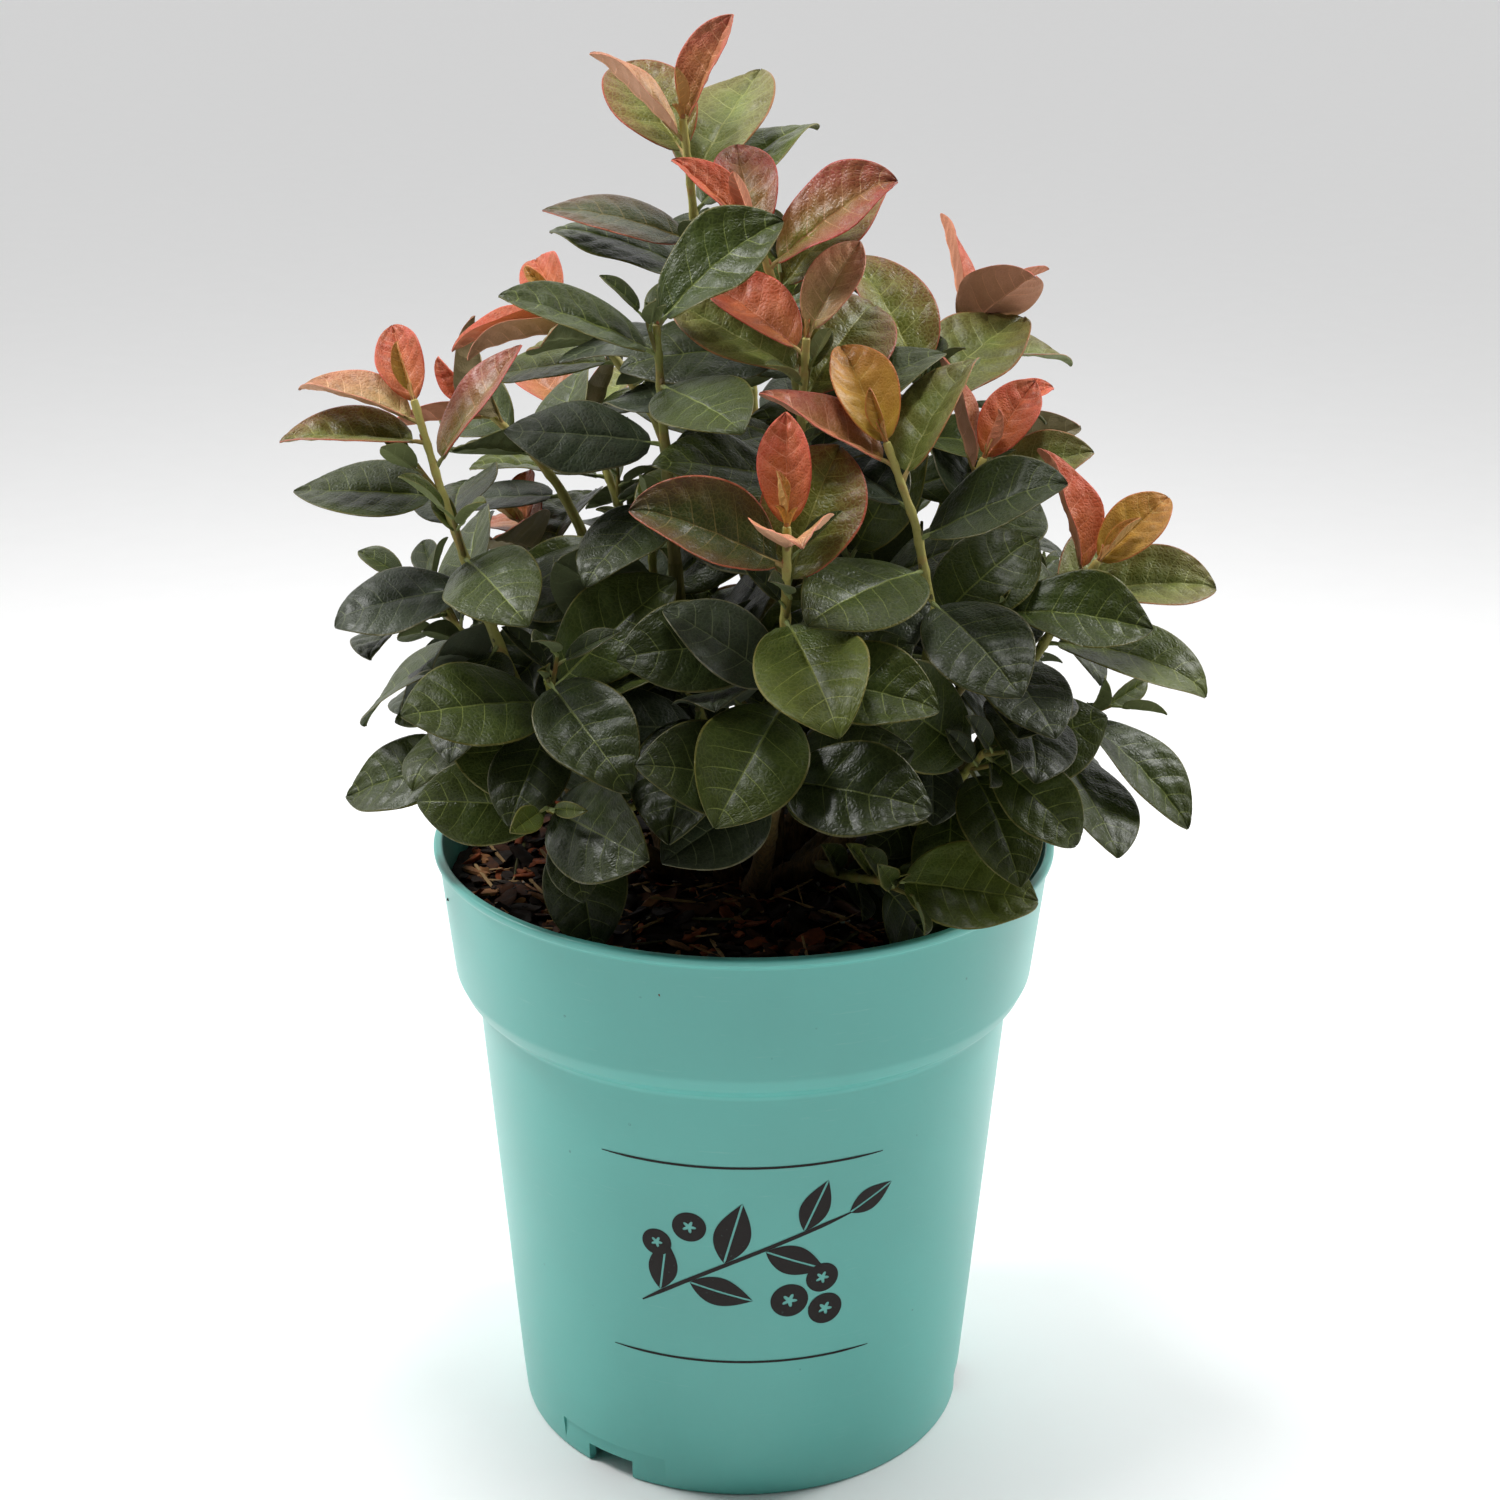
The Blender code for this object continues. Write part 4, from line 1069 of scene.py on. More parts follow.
VEIN_FIRST, VEIN_LAST = 0.09, 0.87
SWEEP_ROOT, SWEEP_MID = 0.30, 0.09
COLUMNS = (0.0, 0.13, 0.27, 0.41, 0.55, 0.68, 0.80, 0.90, 0.965, 1.0)
LOWER_COLUMNS = (0, 1, 3, 5, 7, 9, 10)
SMALL_COLUMNS = (0.0, 0.3, 0.65, 0.94, 1.0)
SMALL_LOWER = (0, 1, 3, 5)
VEINS = (6, 3)
SMALL_VEINS = (4, 2)
END_ROWS = 3
LEAF_ENDS = (0.006, 0.994)
FULL_LENGTH = 50.0
RIB_HALF_WIDTH = 0.46
RIB_TAPER = 0.32
RIB_SUNK = 0.22
RIDGE_BELOW = 0.75
VEIN_WIDTH = 0.2
LUMPS = 0.9
YOUNG_QUILTING, GROWN_QUILTING = 1.5, 0.85
YOUNG_AGE = 5
NUDGE = 0.015
Grid = namedtuple("Grid", "u v reach column hump along starts")


def leaf_rows(veins, between):
    """The rows of a leaf's mesh: place on the rib, which edge of a vein, hump, and vein start."""
    spread = VEIN_LAST - VEIN_FIRST
    at = [VEIN_FIRST + spread * (k / (veins - 1)) ** 0.9 for k in range(veins)]
    low = (LEAF_ENDS[0], 0.0)
    rows = [(*low, 0.0, 0)]
    for k in range(veins + 1):
        last = k == veins
        high = (LEAF_ENDS[1], 0.0) if last else (at[k], -1.0)
        count = END_ROWS if k == 0 or last else between
        for m in range(1, count + 1):
            t = m / (count + 1)
            place, side = (a + (b - a) * t for a, b in zip(low, high))
            rows.append((place, side, math.sin(math.pi * t) ** 0.8, 0))
        rows.append((*high, 0.0, 0 if last else 1))
        if not last:
            low = (at[k], 1.0)
            rows.append((*low, 0.0, 0))
    return np.array(rows).T


def leaf_grid(leaf, small):
    """The points of a leaf's mesh: u and v on the blade, and how they lie to rib and veins."""
    s, edge, hump, starts = leaf_rows(*(SMALL_VEINS if small else VEINS))
    fractions = np.array(SMALL_COLUMNS if small else COLUMNS)
    rib_half = (RIB_HALF_WIDTH - RIB_TAPER * s) * max(leaf.length / FULL_LENGTH, 0.5)
    bare = leaf.width / 2 * half_width(s)
    rib = np.minimum(rib_half / np.maximum(bare, 0.01), 0.3)[:, None]
    half = rib + (1 - rib) * fractions[None, :]
    r = np.hstack([half[:, ::-1], np.zeros((len(s), 1)), half])
    column = np.concatenate([fractions[::-1], [0.0], fractions])[None, :]
    ones = np.ones(len(fractions))
    sign = np.concatenate([-ones, [0.0], ones])
    sweep = 0.75 * r + 0.25 * r**4
    s = s[:, None]
    u = s ** (1 - SWEEP_ROOT * sweep) + SWEEP_MID * 4 * s * (1 - s) * sweep
    u = np.clip(u + edge[:, None] * (VEIN_WIDTH / leaf.length) * (1 - 0.7 * r), 0.002, 0.998)
    return Grid(u, r * sign, r, column, hump[:, None], s, starts)


def blade_normals(leaf, u, v):
    """The directions square to the upper side of a blade."""
    slim = np.clip(v, -0.96, 0.96)
    inner = np.clip(u, 0.03, 0.97)
    ahead = blade(leaf, inner + NUDGE, slim) - blade(leaf, inner - NUDGE, slim)
    across = blade(leaf, inner, slim + 2 * NUDGE) - blade(leaf, inner, slim - 2 * NUDGE)
    return unit(np.cross(across, ahead))


def quilted(leaf, grid, number):
    """How far a blade swells between its veins, in uneven lumps, and sinks along its rib."""
    u, v, f = grid.u, grid.v, grid.column
    size = leaf.length / FULL_LENGTH
    relief = settings_of("leaves").quilting / METRE * min(size, 1.0)
    relief *= YOUNG_QUILTING if leaf.age < YOUNG_AGE else GROWN_QUILTING
    swell = (4 * f * (1 - f)) ** 0.6 * np.where(f > 0, 1.0, 0.0)
    phase = number * 1.7
    lumps = np.sin(v * 7.0 + u * 11.0 + phase) * np.sin(u * 17.0 - v * 5.0 + 2.3 * phase)
    lumps = LUMPS * lumps * (1 - f**4) * np.minimum(6 * grid.along, 1.0)
    sunk = RIB_SUNK * (1 - 0.7 * u) * max(size, 0.4)
    return relief * (grid.hump * swell + lumps) - np.where(grid.reach == 0, sunk, 0.0)


def rim_quads(rows, columns, lower_columns):
    """The quads that join the edges of a leaf's upper side to those of its underside."""
    k = np.arange(rows - 1)
    left, right = k * columns, k * columns + columns - 1
    low = rows * columns + k * lower_columns
    end = low + lower_columns - 1
    return np.concatenate([
        np.stack([right, low, low + lower_columns, right + columns], axis=-1),
        np.stack([left + columns, end + lower_columns, end, left], axis=-1),
    ])


def leaf_part(leaf, number, small=False):
    """A whole leaf as one closed sheet: quilted blade, veins, rim and underside."""
    grid = leaf_grid(leaf, small)
    u, v, r = grid.u, grid.v, grid.reach
    places, normal = blade(leaf, u, v), blade_normals(leaf, u, v)
    height = quilted(leaf, grid, number)
    thick = settings_of("leaves").thickness / METRE / 2 * np.where(r >= 0.999, 0.35, 1.0)
    ridge = RIDGE_BELOW * (1 - 0.8 * u) * max(leaf.length / FULL_LENGTH, 0.4)
    upper = places + normal * (height + thick)[..., None]
    lower = places + normal * (height * 0.9 - thick - np.where(r == 0, ridge, 0.0))[..., None]

    rows, columns = u.shape
    keep = np.array(SMALL_LOWER if small else LOWER_COLUMNS)
    centre, middle = columns // 2, len(keep) - 1
    picks = np.concatenate([centre - keep[::-1], centre + keep[1:]])
    vein_row = grid.starts[:-1].astype(bool)[:, None]
    reach = np.maximum(np.abs(v[:-1, :-1]), np.abs(v[:-1, 1:]))
    slots = np.where(vein_row & (reach < 0.84), VEIN, BLADE)
    slots[:, [0, -1]] = RIM
    slots[: int(rows * 0.94), centre - 1 : centre + 1] = VEIN
    below = np.where(vein_row & (reach[:, picks[:-1]] < 0.8), RIB, UNDER)
    below[: int(rows * 0.9), middle - 1 : middle + 1] = RIB

    tile = np.array((number % LEAF_TILES, number // LEAF_TILES % LEAF_TILES))
    maps = (np.stack([u, 0.5 + 0.495 * v], axis=-1) + tile) / LEAF_TILES
    top = sheet(upper, slots, maps=maps)
    under = sheet(lower[:, picks][:, ::-1], below[:, ::-1], maps=maps[:, picks][:, ::-1])
    whole = joined([top, under])
    rim = rim_quads(rows, columns, len(picks))
    return whole._replace(
        quads=np.concatenate([whole.quads, rim]),
        slots=np.concatenate([whole.slots, np.full(len(rim), RIM)]),
    )


def stalk_part(leaf, slot):
    """The short stalk of a leaf, which runs on under its rib."""
    size = min(leaf.length / 45, 1.0)
    rib = blade(leaf, np.array([0.03, 0.09, 0.16]), np.zeros(3))
    root, heading, face = (np.array(way) for way in (leaf.root, leaf.heading, leaf.face))
    points = [root - heading * 0.4, root + heading * 1.5, root + heading * (PETIOLE - 0.6)]
    points += [place - face * drop for place, drop in zip(rib, (0.35, 0.5, 0.5))]
    radii = [1.0, 0.85, 0.72, 0.6, 0.45, 0.25]
    return fine_tube(points, np.array(radii) * (0.35 + 0.65 * size), 8, slot)


def bud_part(root, way, length, slot):
    """A small pointed bud."""
    shares = np.array([0.0, 0.15, 0.35, 0.6, 0.82, 0.96, 1.0])
    radii = length * np.array([0.16, 0.27, 0.33, 0.27, 0.15, 0.05, 0.01])
    points = [np.array(root) + np.array(way) * (length * share) for share in shares]
    return fine_tube(points, radii, 8, slot)


# What each named shoot wears from its tip down, where the photograph shows it
DRESS = {
    "shoot_leader": ("amber", "brick", "salmon", "bronze", "olive", "fresh", "dusk"),
    "shoot_second": ("coral", "coral", "maroon", "maroon", "bronze", "fresh", "deep"),
    "shoot_third": ("salmon", "coral", "olive", "bronze", "green", "deep"),
    "shoot_left_high": ("amber", "coral", "coral", "salmon", "olive", "fresh"),
    "shoot_left": ("amber", "coral", "salmon", "bronze", "maroon", "green", "deep"),
    "shoot_left_back": ("coral", "coral", "bronze", "green"),
    "shoot_front": ("amber", "coral", "salmon", "dusk", "bronze", "fresh", "deep"),
    "shoot_right_centre": ("amber", "amber", "brick", "olive", "slate", "deep"),
    "shoot_right_bud": ("coral", "coral", "brick", "olive", "slate"),
    "shoot_right": ("amber", "amber", "coral", "olive", "olive", "fresh"),
    "shoot_right_high": ("amber", "coral", "coral", "brick", "olive", "green"),
    "shoot_low_front_right": ("fresh", "deep", "slate", "deep"),
    "shoot_low_front_left": ("slate", "slate", "deep"),
}
YOUNG = ("amber", "coral", "brick", "bronze", "olive")
# Leaves rooted lower than this take darker tints: painted shade for the shade that falls under the crown.
SHADED_LEAF_HEIGHT = 300.0


def tint_of(shoot, leaf, chance):
    """The kind of a leaf: as its shoot is dressed, darker low down as painted shade for the shade under
    the crown, or by its age.
    """
    order = round(leaf.age - tip_age(shoot))
    worn = DRESS.get(shoot.name, ())
    draw = chance.random()
    if order < len(worn):
        return worn[order]
    if leaf.age < len(YOUNG) - 0.6 and shoot.youth > 0.2:
        return YOUNG[int(leaf.age + 0.5)]
    # Painted shade: leaves low in the crown take the darker tints, for the shade that falls there.
    if leaf.root[2] < SHADED_LEAF_HEIGHT:
        return "slate" if draw < 0.2 else "deep" if draw < 0.75 else "green"
    if leaf.age < 6.5:
        return "fresh" if draw < 0.16 else "green" if draw < 0.8 else "slate"
    return "green" if draw < 0.45 else "deep" if draw < 0.8 else "slate"


# Finer twigs: side twigs in the axils of grown leaves, and furled leaves at the tips
Twig = namedtuple("Twig", "points leaves")


def small_leaf(root, heading, face, length, fold, chance, age):
    """A small leaf; chance decides its width and then its curl, bend, flick and twist."""
    width = length * chance.uniform(0.42, 0.54)
    ranges = ((-5, 20), (0, 25), (0, 30), (-20, 20))
    turns = [math.radians(chance.uniform(low, high)) for low, high in ranges]
    stand = (tuple(way) for way in (root, heading, face))
    return Leaf(*stand, length, width, math.radians(fold), *turns, 0.04, age)


def side_twigs(item, crowd):
    """Short twigs with up to three small leaves, where there is room beside a grown leaf."""
    chance = random.Random(item.shoot.name + " twigs")
    found = []
    total = path_length(item.path)
    for leaf in item.leaves:
        if leaf.age < 4 or chance.random() > settings_of("leaves").side_twigs:
            continue
        root, heading, face = Vector(leaf.root), Vector(leaf.heading), Vector(leaf.face)
        way = along_path(item.path, 1.0 - min((Vector(item.path[-1]) - root).length / total, 0.95))[1]
        ahead = (heading * 0.8 + way + face * 0.2).normalized()
        length = chance.uniform(8, 14)
        points = bezier(root, root + ahead * length * 0.5, root + (ahead + way * 0.3) * length, 4)
        leaves = []
        for k in range(3):
            at, along = along_path(points, 1.0 - 0.28 * k)
            out = around(along, math.radians(GOLDEN * k + 40))
            pitch = math.radians(28 + 16 * k)
            to = (along * math.cos(pitch) + out * math.sin(pitch)).normalized()
            up = square_to(along * math.sin(pitch) - out * math.cos(pitch), to)
            grown = small_leaf(at, to, up, chance.uniform(13, 21), 24, chance, 5)
            solid = leaf_solid(grown, 0.3)
            if crowd.meets(*solid, but=(item.shoot.name,)):
                continue
            tree = BVHTree.FromPolygons(*solid)
            if not any(tree.overlap(BVHTree.FromPolygons(*leaf_solid(other))) for other in item.leaves):
                leaves.append(grown)
                crowd.add(item.shoot.name, *solid)
        if len(leaves) > 1:
            found.append(Twig(points, leaves))
    return found


def tip_leaves(item):
    """Furled leaves hugging the tip of a shoot."""
    chance = random.Random(item.shoot.name + " tip")
    tip, way = Vector(item.path[-1]), (item.path[-1] - item.path[-2]).normalized()
    leaves = []
    for k in range(2):
        out = around(way, chance.uniform(0, 1) + math.pi * k)
        heading = (way + out * chance.uniform(0.1, 0.3)).normalized()
        face = square_to((way * 0.2 - out).normalized(), heading)
        root = tip - way * (0.6 + k) - heading * (PETIOLE - 1.0)
        leaves.append(small_leaf(root, heading, face, chance.uniform(6, 9), 62, chance, 0))
    return leaves


# Pot


def eased(corners, radius, steps=4):
    """Rounds the corners of an open outline of (radius, z) points."""
    points = [Vector(corner) for corner in corners]
    found = [points[0]]
    for before, corner, after in zip(points, points[1:], points[2:]):
        reach = min(radius, 0.42 * (corner - before).length, 0.42 * (after - corner).length)
        start = corner + (before - corner).normalized() * reach
        end = corner + (after - corner).normalized() * reach
        found += bezier(start, corner, end, steps)
    return found + [points[-1]]


def pot_outline():
    """Half of the pot's section, from the middle of its underside round to the inside.

    The small numbers are offsets from the foot, the ledge under the collar and the rim.
    """
    ledge = COLLAR_FOOT_Z
    inner_floor = ARCH_HEIGHT + FLOOR
    outside = (
        (0.01, 0),
        (HUB_RADIUS - 2, 0),
        (HUB_RADIUS, ARCH_HEIGHT),
        (BODY_FOOT_RADIUS - 4.5, ARCH_HEIGHT),
        (BODY_FOOT_RADIUS - 4.0, 0),
        (BODY_FOOT_RADIUS - 1.2, 0),
        (BODY_FOOT_RADIUS, 12),
        (BODY_TOP_RADIUS, ledge - 1.5),
        (BODY_TOP_RADIUS + 1.2, ledge + 0.4),
        (COLLAR_FOOT_RADIUS - 2.4, ledge + 3.4),
        (COLLAR_FOOT_RADIUS, ledge + 8.5),
        (RIM_RADIUS - 1.6, POT_HEIGHT - 3.6),
        (RIM_RADIUS, POT_HEIGHT - 2.4),
        (RIM_RADIUS, POT_HEIGHT),
    )
    inside = (
        (RIM_RADIUS - 2.9, POT_HEIGHT),
        (RIM_RADIUS - 1.6 - WALL, POT_HEIGHT - 2.0),
        (COLLAR_FOOT_RADIUS - WALL, ledge + 9.0),
        (BODY_TOP_RADIUS - WALL + 0.6, ledge + 1.6),
        (BODY_TOP_RADIUS - WALL, ledge - 1.0),
        (BODY_FOOT_RADIUS - WALL, inner_floor + 1.5),
        (BODY_FOOT_RADIUS - WALL - 1.2, inner_floor),
        (HUB_RADIUS - 0.5 - FLOOR, inner_floor),
        (HUB_RADIUS - 3.0 - FLOOR, FLOOR),
        (0.01, FLOOR),
    )
    return eased(outside + inside, CORNER_RADIUS)


def turned(outline, sides):
    """An outline of (radius, z) turned about z."""
    turn = full_turn(sides)
    table = np.array([tuple(point) for point in outline])
    radius, z = table[:, :1], table[:, 1:]
    places = np.stack(np.broadcast_arrays(radius * np.cos(turn), radius * np.sin(turn), z), axis=-1)
    return sheet(places, wrap=True)


def ring_block(low_radius, high_radius, low_z, high_z, bearing, half_angle, steps):
    """A closed block between two radii, over a stretch of bearings, to cut with."""
    vertices, faces = [], []
    corners = ((low_radius, low_z), (high_radius, low_z), (high_radius, high_z), (low_radius, high_z))
    for k in range(steps + 1):
        at = bearing - half_angle + 2 * half_angle * k / steps
        vertices += [on_bearing(at, radius * METRE, z * METRE) for radius, z in corners]
    for k in range(steps):
        for j in range(4):
            a, b = 4 * k + j, 4 * k + (j + 1) % 4
            faces.append((a, a + 4, b + 4, b))
    faces += [(0, 1, 2, 3), tuple(4 * steps + 3 - j for j in range(4))]
    mesh = bpy.data.meshes.new("cutter")
    mesh.from_pydata([tuple(v) for v in vertices], [], faces)
    return set_out("cutter", mesh)


def cut(target, cutter):
    """Cuts one closed object from another, and removes the cutter."""
    modifier = target.modifiers.new("cut", "BOOLEAN")
    modifier.operation = "DIFFERENCE"
    modifier.object = cutter
    modifier.solver = "EXACT"
    bpy.context.view_layer.update()
    graph = bpy.context.evaluated_depsgraph_get()
    result = bpy.data.meshes.new_from_object(target.evaluated_get(graph))
    target.modifiers.clear()
    old, target.data = target.data, result
    bpy.data.meshes.remove(old)
    bpy.data.objects.remove(cutter)


def weld(target, distance):
    """Merges the points of a mesh that lie this near, in metres."""
    shape = bmesh.new()
    shape.from_mesh(target.data)
    bmesh.ops.remove_doubles(shape, verts=shape.verts, dist=distance)
    shape.to_mesh(target.data)
    shape.free()


def body_radius(z):
    """The outside of the pot's body at a height."""
    share = (z - 12.0) / (COLLAR_FOOT_Z - 13.5)
    return BODY_FOOT_RADIUS + (BODY_TOP_RADIUS - BODY_FOOT_RADIUS) * share


# The print on the front: its twig bends through three points; a leaf has its share of the
# twig, the side it stands on and its length; a berry its x, z and radius from the middle
PRINT_PROUD = 0.09
PRINT_HEIGHT = 94.0
PRINT_TWIG = ((-34, -17), (-2, 6), (36, 17))
PRINT_TWIG_WIDTH = 1.5
PRINT_LEAVES = ((0.1, 1, 20), (0.24, -1, 22), (0.42, 1, 24), (0.6, -1, 22), (0.78, 1, 20))
PRINT_LEAF_ANGLE = 48
PRINT_BERRIES = ((16, -14, 6.4), (27, -6.5, 5.6), (28.5, -19, 6.0), (-17, 14.5, 5.6), (-28, 7, 5.0))
PRINT_RULES = (-38.0, 38.0)
PRINT_RULE_REACH = 46
PRINT_RULE_WIDTH = 0.9


def printed(table):
    """A flat table of (x, z) points, from the middle of the print, laid on the pot's front."""
    x, z = table[..., 0], table[..., 1] + PRINT_HEIGHT
    radius = body_radius(z) + PRINT_PROUD
    turn = np.radians(-90.0) + x / body_radius(PRINT_HEIGHT)
    return np.stack([radius * np.cos(turn), radius * np.sin(turn), z], axis=-1)


def printed_leaf(x, z, bearing, length, width):
    """A printed leaf: two halves with a bare rib between them."""
    t = np.linspace(0.0, 1.0, 25)[:, None]
    c, s = math.cos(math.radians(bearing)), math.sin(math.radians(bearing))
    ahead, side = np.array((c, s)), np.array((-s, c))
    halves = []
    for sign in (1, -1):
        wide = np.sin(math.pi * t**0.85) * width / 2
        gap = np.minimum(0.35, wide * 0.5)
        across = gap + (wide - gap) * np.linspace(0, 1, 6)[None, :]
        table = np.array((x, z)) + (t * length)[..., None] * ahead + (sign * across)[..., None] * side
        places = printed(table)
        halves.append(sheet(places if sign < 0 else places[:, ::-1]))
    return halves


def printed_berry(x, z, radius):
    """A printed berry: a disc with a small five pointed crown left bare."""
    turn = full_turn(60)
    crown = 0.3 + 0.12 * np.cos(5 * turn + 0.6)
    reach = crown + (1 - crown) * np.linspace(0, 1, 8)[:, None]
    table = np.stack([x + radius * reach * np.cos(turn), z + radius * reach * np.sin(turn)], axis=-1)
    return sheet(printed(table)[::-1], wrap=True)


def printed_line(points, width):
    """A printed stroke through points, thinner at its ends."""
    points = np.array(points, float)
    ahead = unit(np.gradient(points, axis=0))
    side = np.stack([-ahead[:, 1], ahead[:, 0]], axis=-1)
    t = np.linspace(0, 1, len(points))
    wide = width * np.minimum(1.0, 0.35 + 6 * np.minimum(t, 1 - t))
    across = np.linspace(0.5, -0.5, 3)
    table = points[:, None] + side[:, None] * (wide[:, None] * across[None, :])[..., None]
    return sheet(printed(table))


def pot_print():
    """A generic sprig with berries between two thin rules."""
    twig = bezier(*(Vector(point) for point in PRINT_TWIG), 40)
    parts = [printed_line(twig, PRINT_TWIG_WIDTH)]
    for share, side, length in PRINT_LEAVES:
        at, way = along_path([p.to_3d() for p in twig], share)
        aim = math.atan2(way.y, way.x) + math.radians(PRINT_LEAF_ANGLE) * side
        foot = (at.x + 1.2 * math.cos(aim), at.y + 1.2 * math.sin(aim))
        parts += printed_leaf(*foot, math.degrees(aim), length, length * 0.5)
    parts += printed_leaf(twig[-1].x - 0.5, twig[-1].y, 28, 17, 8.5)
    parts += [printed_berry(*berry) for berry in PRINT_BERRIES]
    for z in PRINT_RULES:
        line = [(x, z) for x in np.linspace(-PRINT_RULE_REACH, PRINT_RULE_REACH, 80)]
        parts.append(printed_line(line, PRINT_RULE_WIDTH))
    return parts


# Compost


def soil_part():
    """The crumbly top of the compost, with a skirt down inside the pot's wall."""
    low, high = COLLAR_FOOT_Z + 9.0, POT_HEIGHT - 2.0
    rows = []
    for k in range(SOIL_RINGS + 1):
        ring = []
        for j in range(SOIL_SIDES):
            bearing = 360.0 * j / SOIL_SIDES
            edge = on_bearing(bearing, COLLAR_FOOT_RADIUS)
            share = (compost_height(edge.x, edge.y) - low) / (high - low)
            wall = COLLAR_FOOT_RADIUS - WALL + (RIM_RADIUS - 1.6 - COLLAR_FOOT_RADIUS) * share - SEAT
            place = on_bearing(bearing, wall * (1 - k / SOIL_RINGS) + 0.01)
            crumb = noise.noise(place * 0.16) * 1.5 + noise.noise(place * 0.42) * 1.0
            crumb += noise.noise(place * 1.1) * 0.55 - 0.4 * (k == 0)
            place.z = compost_height(place.x, place.y) + crumb - 0.6
            ring.append(tuple(place))
        if k == 0:
            rows.append([(x * 0.985, y * 0.985, z - SOIL_SKIRT) for x, y, z in ring])
        rows.append(ring)
    return sheet(np.array(rows), wrap=True)


def flake(chance, length, width, thick, rows, columns, slot):
    """A flake of bark or a sliver of wood: an uneven slab with torn ends."""
    table = []
    for share in np.linspace(-0.5, 0.5, rows):
        torn = (1.0 - abs(2 * share) ** 4 * chance.uniform(0.1, 0.6)) * chance.uniform(0.82, 1.12)
        ring = []
        for j in range(columns):
            turn = 2 * math.pi * (j + 0.5) / columns
            c, s = math.cos(turn), math.sin(turn)
            y = math.copysign(abs(c) ** 0.6, c) * width / 2 * torn * chance.uniform(0.85, 1.1)
            z = math.copysign(abs(s) ** 0.7, s) * thick / 2 * torn * chance.uniform(0.7, 1.2)
            x = share * length + chance.uniform(-0.06, 0.06) * length
            ring.append((x, y, z + 0.08 * length * (share * 2) ** 2 * chance.uniform(0.0, 0.4)))
        table.append(ring)
    table = np.array(table)
    middles = table[[0, -1]].mean(axis=1, keepdims=True)
    ends = middles + (table[[0, -1]] - middles) * 0.12
    table = np.concatenate([ends[:1], table, ends[1:]])
    drift = chance.uniform(0, 10)
    along = np.linspace(0, length / 100, len(table))[:, None] + drift
    maps = on_map(along, np.linspace(0, width / 50, columns)[None, :] + drift)
    return sheet(table[:, ::-1], slot, wrap=True, maps=maps)


def laid(part, chance, place, tilt):
    """A part turned any way round, tipped a little, and put in its place."""
    turn = Matrix.Rotation(chance.uniform(0, 2 * math.pi), 3, "Z")
    tip = Matrix.Rotation(chance.gauss(0, tilt), 3, "X") @ Matrix.Rotation(chance.gauss(0, tilt), 3, "Y")
    return part._replace(places=part.places @ np.array(turn @ tip).T + np.array(tuple(place)))


# Kinds of chips, each with its dark and its light tone
CHIPS = {
    "peat": ((0.005, 0.003, 0.0015), (0.022, 0.010, 0.005)),
    "brown": ((0.020, 0.008, 0.004), (0.095, 0.034, 0.014)),
    "russet": ((0.09, 0.020, 0.007), (0.34, 0.085, 0.028)),
    "tan": ((0.13, 0.05, 0.018), (0.40, 0.18, 0.07)),
    "straw": ((0.22, 0.125, 0.05), (0.46, 0.30, 0.14)),
    "moss": ((0.03, 0.03, 0.008), (0.11, 0.10, 0.035)),
    "pale": ((0.35, 0.32, 0.27), (0.6, 0.56, 0.5)),
}
BARK_KINDS, BARK_SHARES = (0, 1, 2, 3), (48, 27, 17, 8)
SLIVER_KINDS, SLIVER_SHARES = (3, 4, 5), (3, 4, 2)
SPECK_KIND = 6
LONGEST_CHIP = 17.0
CLEAR_OF_CANES = 5


def litter():
    """Bark chips, slivers, bits of twig and pale specks, strewn over the compost."""
    props = settings_of("compost")
    chance = random.Random("litter")
    feet = [Vector((*cane.foot, 0)) for cane in CANES]
    parts = []

    def strew(shape, reach, low, high, tilt):
        place = feet[0]
        while min((place - foot).length for foot in feet) <= CLEAR_OF_CANES:
            place = on_bearing(chance.uniform(0, 360), reach * math.sqrt(chance.random()))
        lift = compost_height(place.x, place.y)
        place = Vector((place.x, place.y, lift)) + Vector((0, 0, chance.uniform(low, high)))
        parts.append(laid(shape, chance, place, tilt))

    for _ in range(props.chips):
        length = min(3.0 + chance.expovariate(0.26), LONGEST_CHIP)
        slot = chance.choices(BARK_KINDS, BARK_SHARES)[0]
        width, thick = length * chance.uniform(0.34, 0.75), chance.uniform(0.9, 2.6)
        strew(flake(chance, length, width, thick, 5, 8, slot), 96, -0.3, 1.2, 0.22)
    for _ in range(props.slivers):
        sizes = chance.uniform(7, 22), chance.uniform(0.6, 1.9), chance.uniform(0.4, 0.9)
        slot = chance.choices(SLIVER_KINDS, SLIVER_SHARES)[0]
        strew(flake(chance, *sizes, 6, 6, slot), 90, 0.6, 2.2, 0.12)
    for _ in range(props.specks):
        sizes = chance.uniform(0.8, 2.0), chance.uniform(0.7, 1.4), chance.uniform(0.6, 1.1)
        strew(flake(chance, *sizes, 3, 6, SPECK_KIND), 97, 0.4, 1.4, 0.5)
    return parts


# Canes and stems

BARK_RINGS, BARK_SIDES = 72, 20
FOOT_SUNK = 2.2
STEM_STEPS, STEM_SIDES = 40, 12
NODE_SWELL, NODE_REACH = 0.3, 1.6


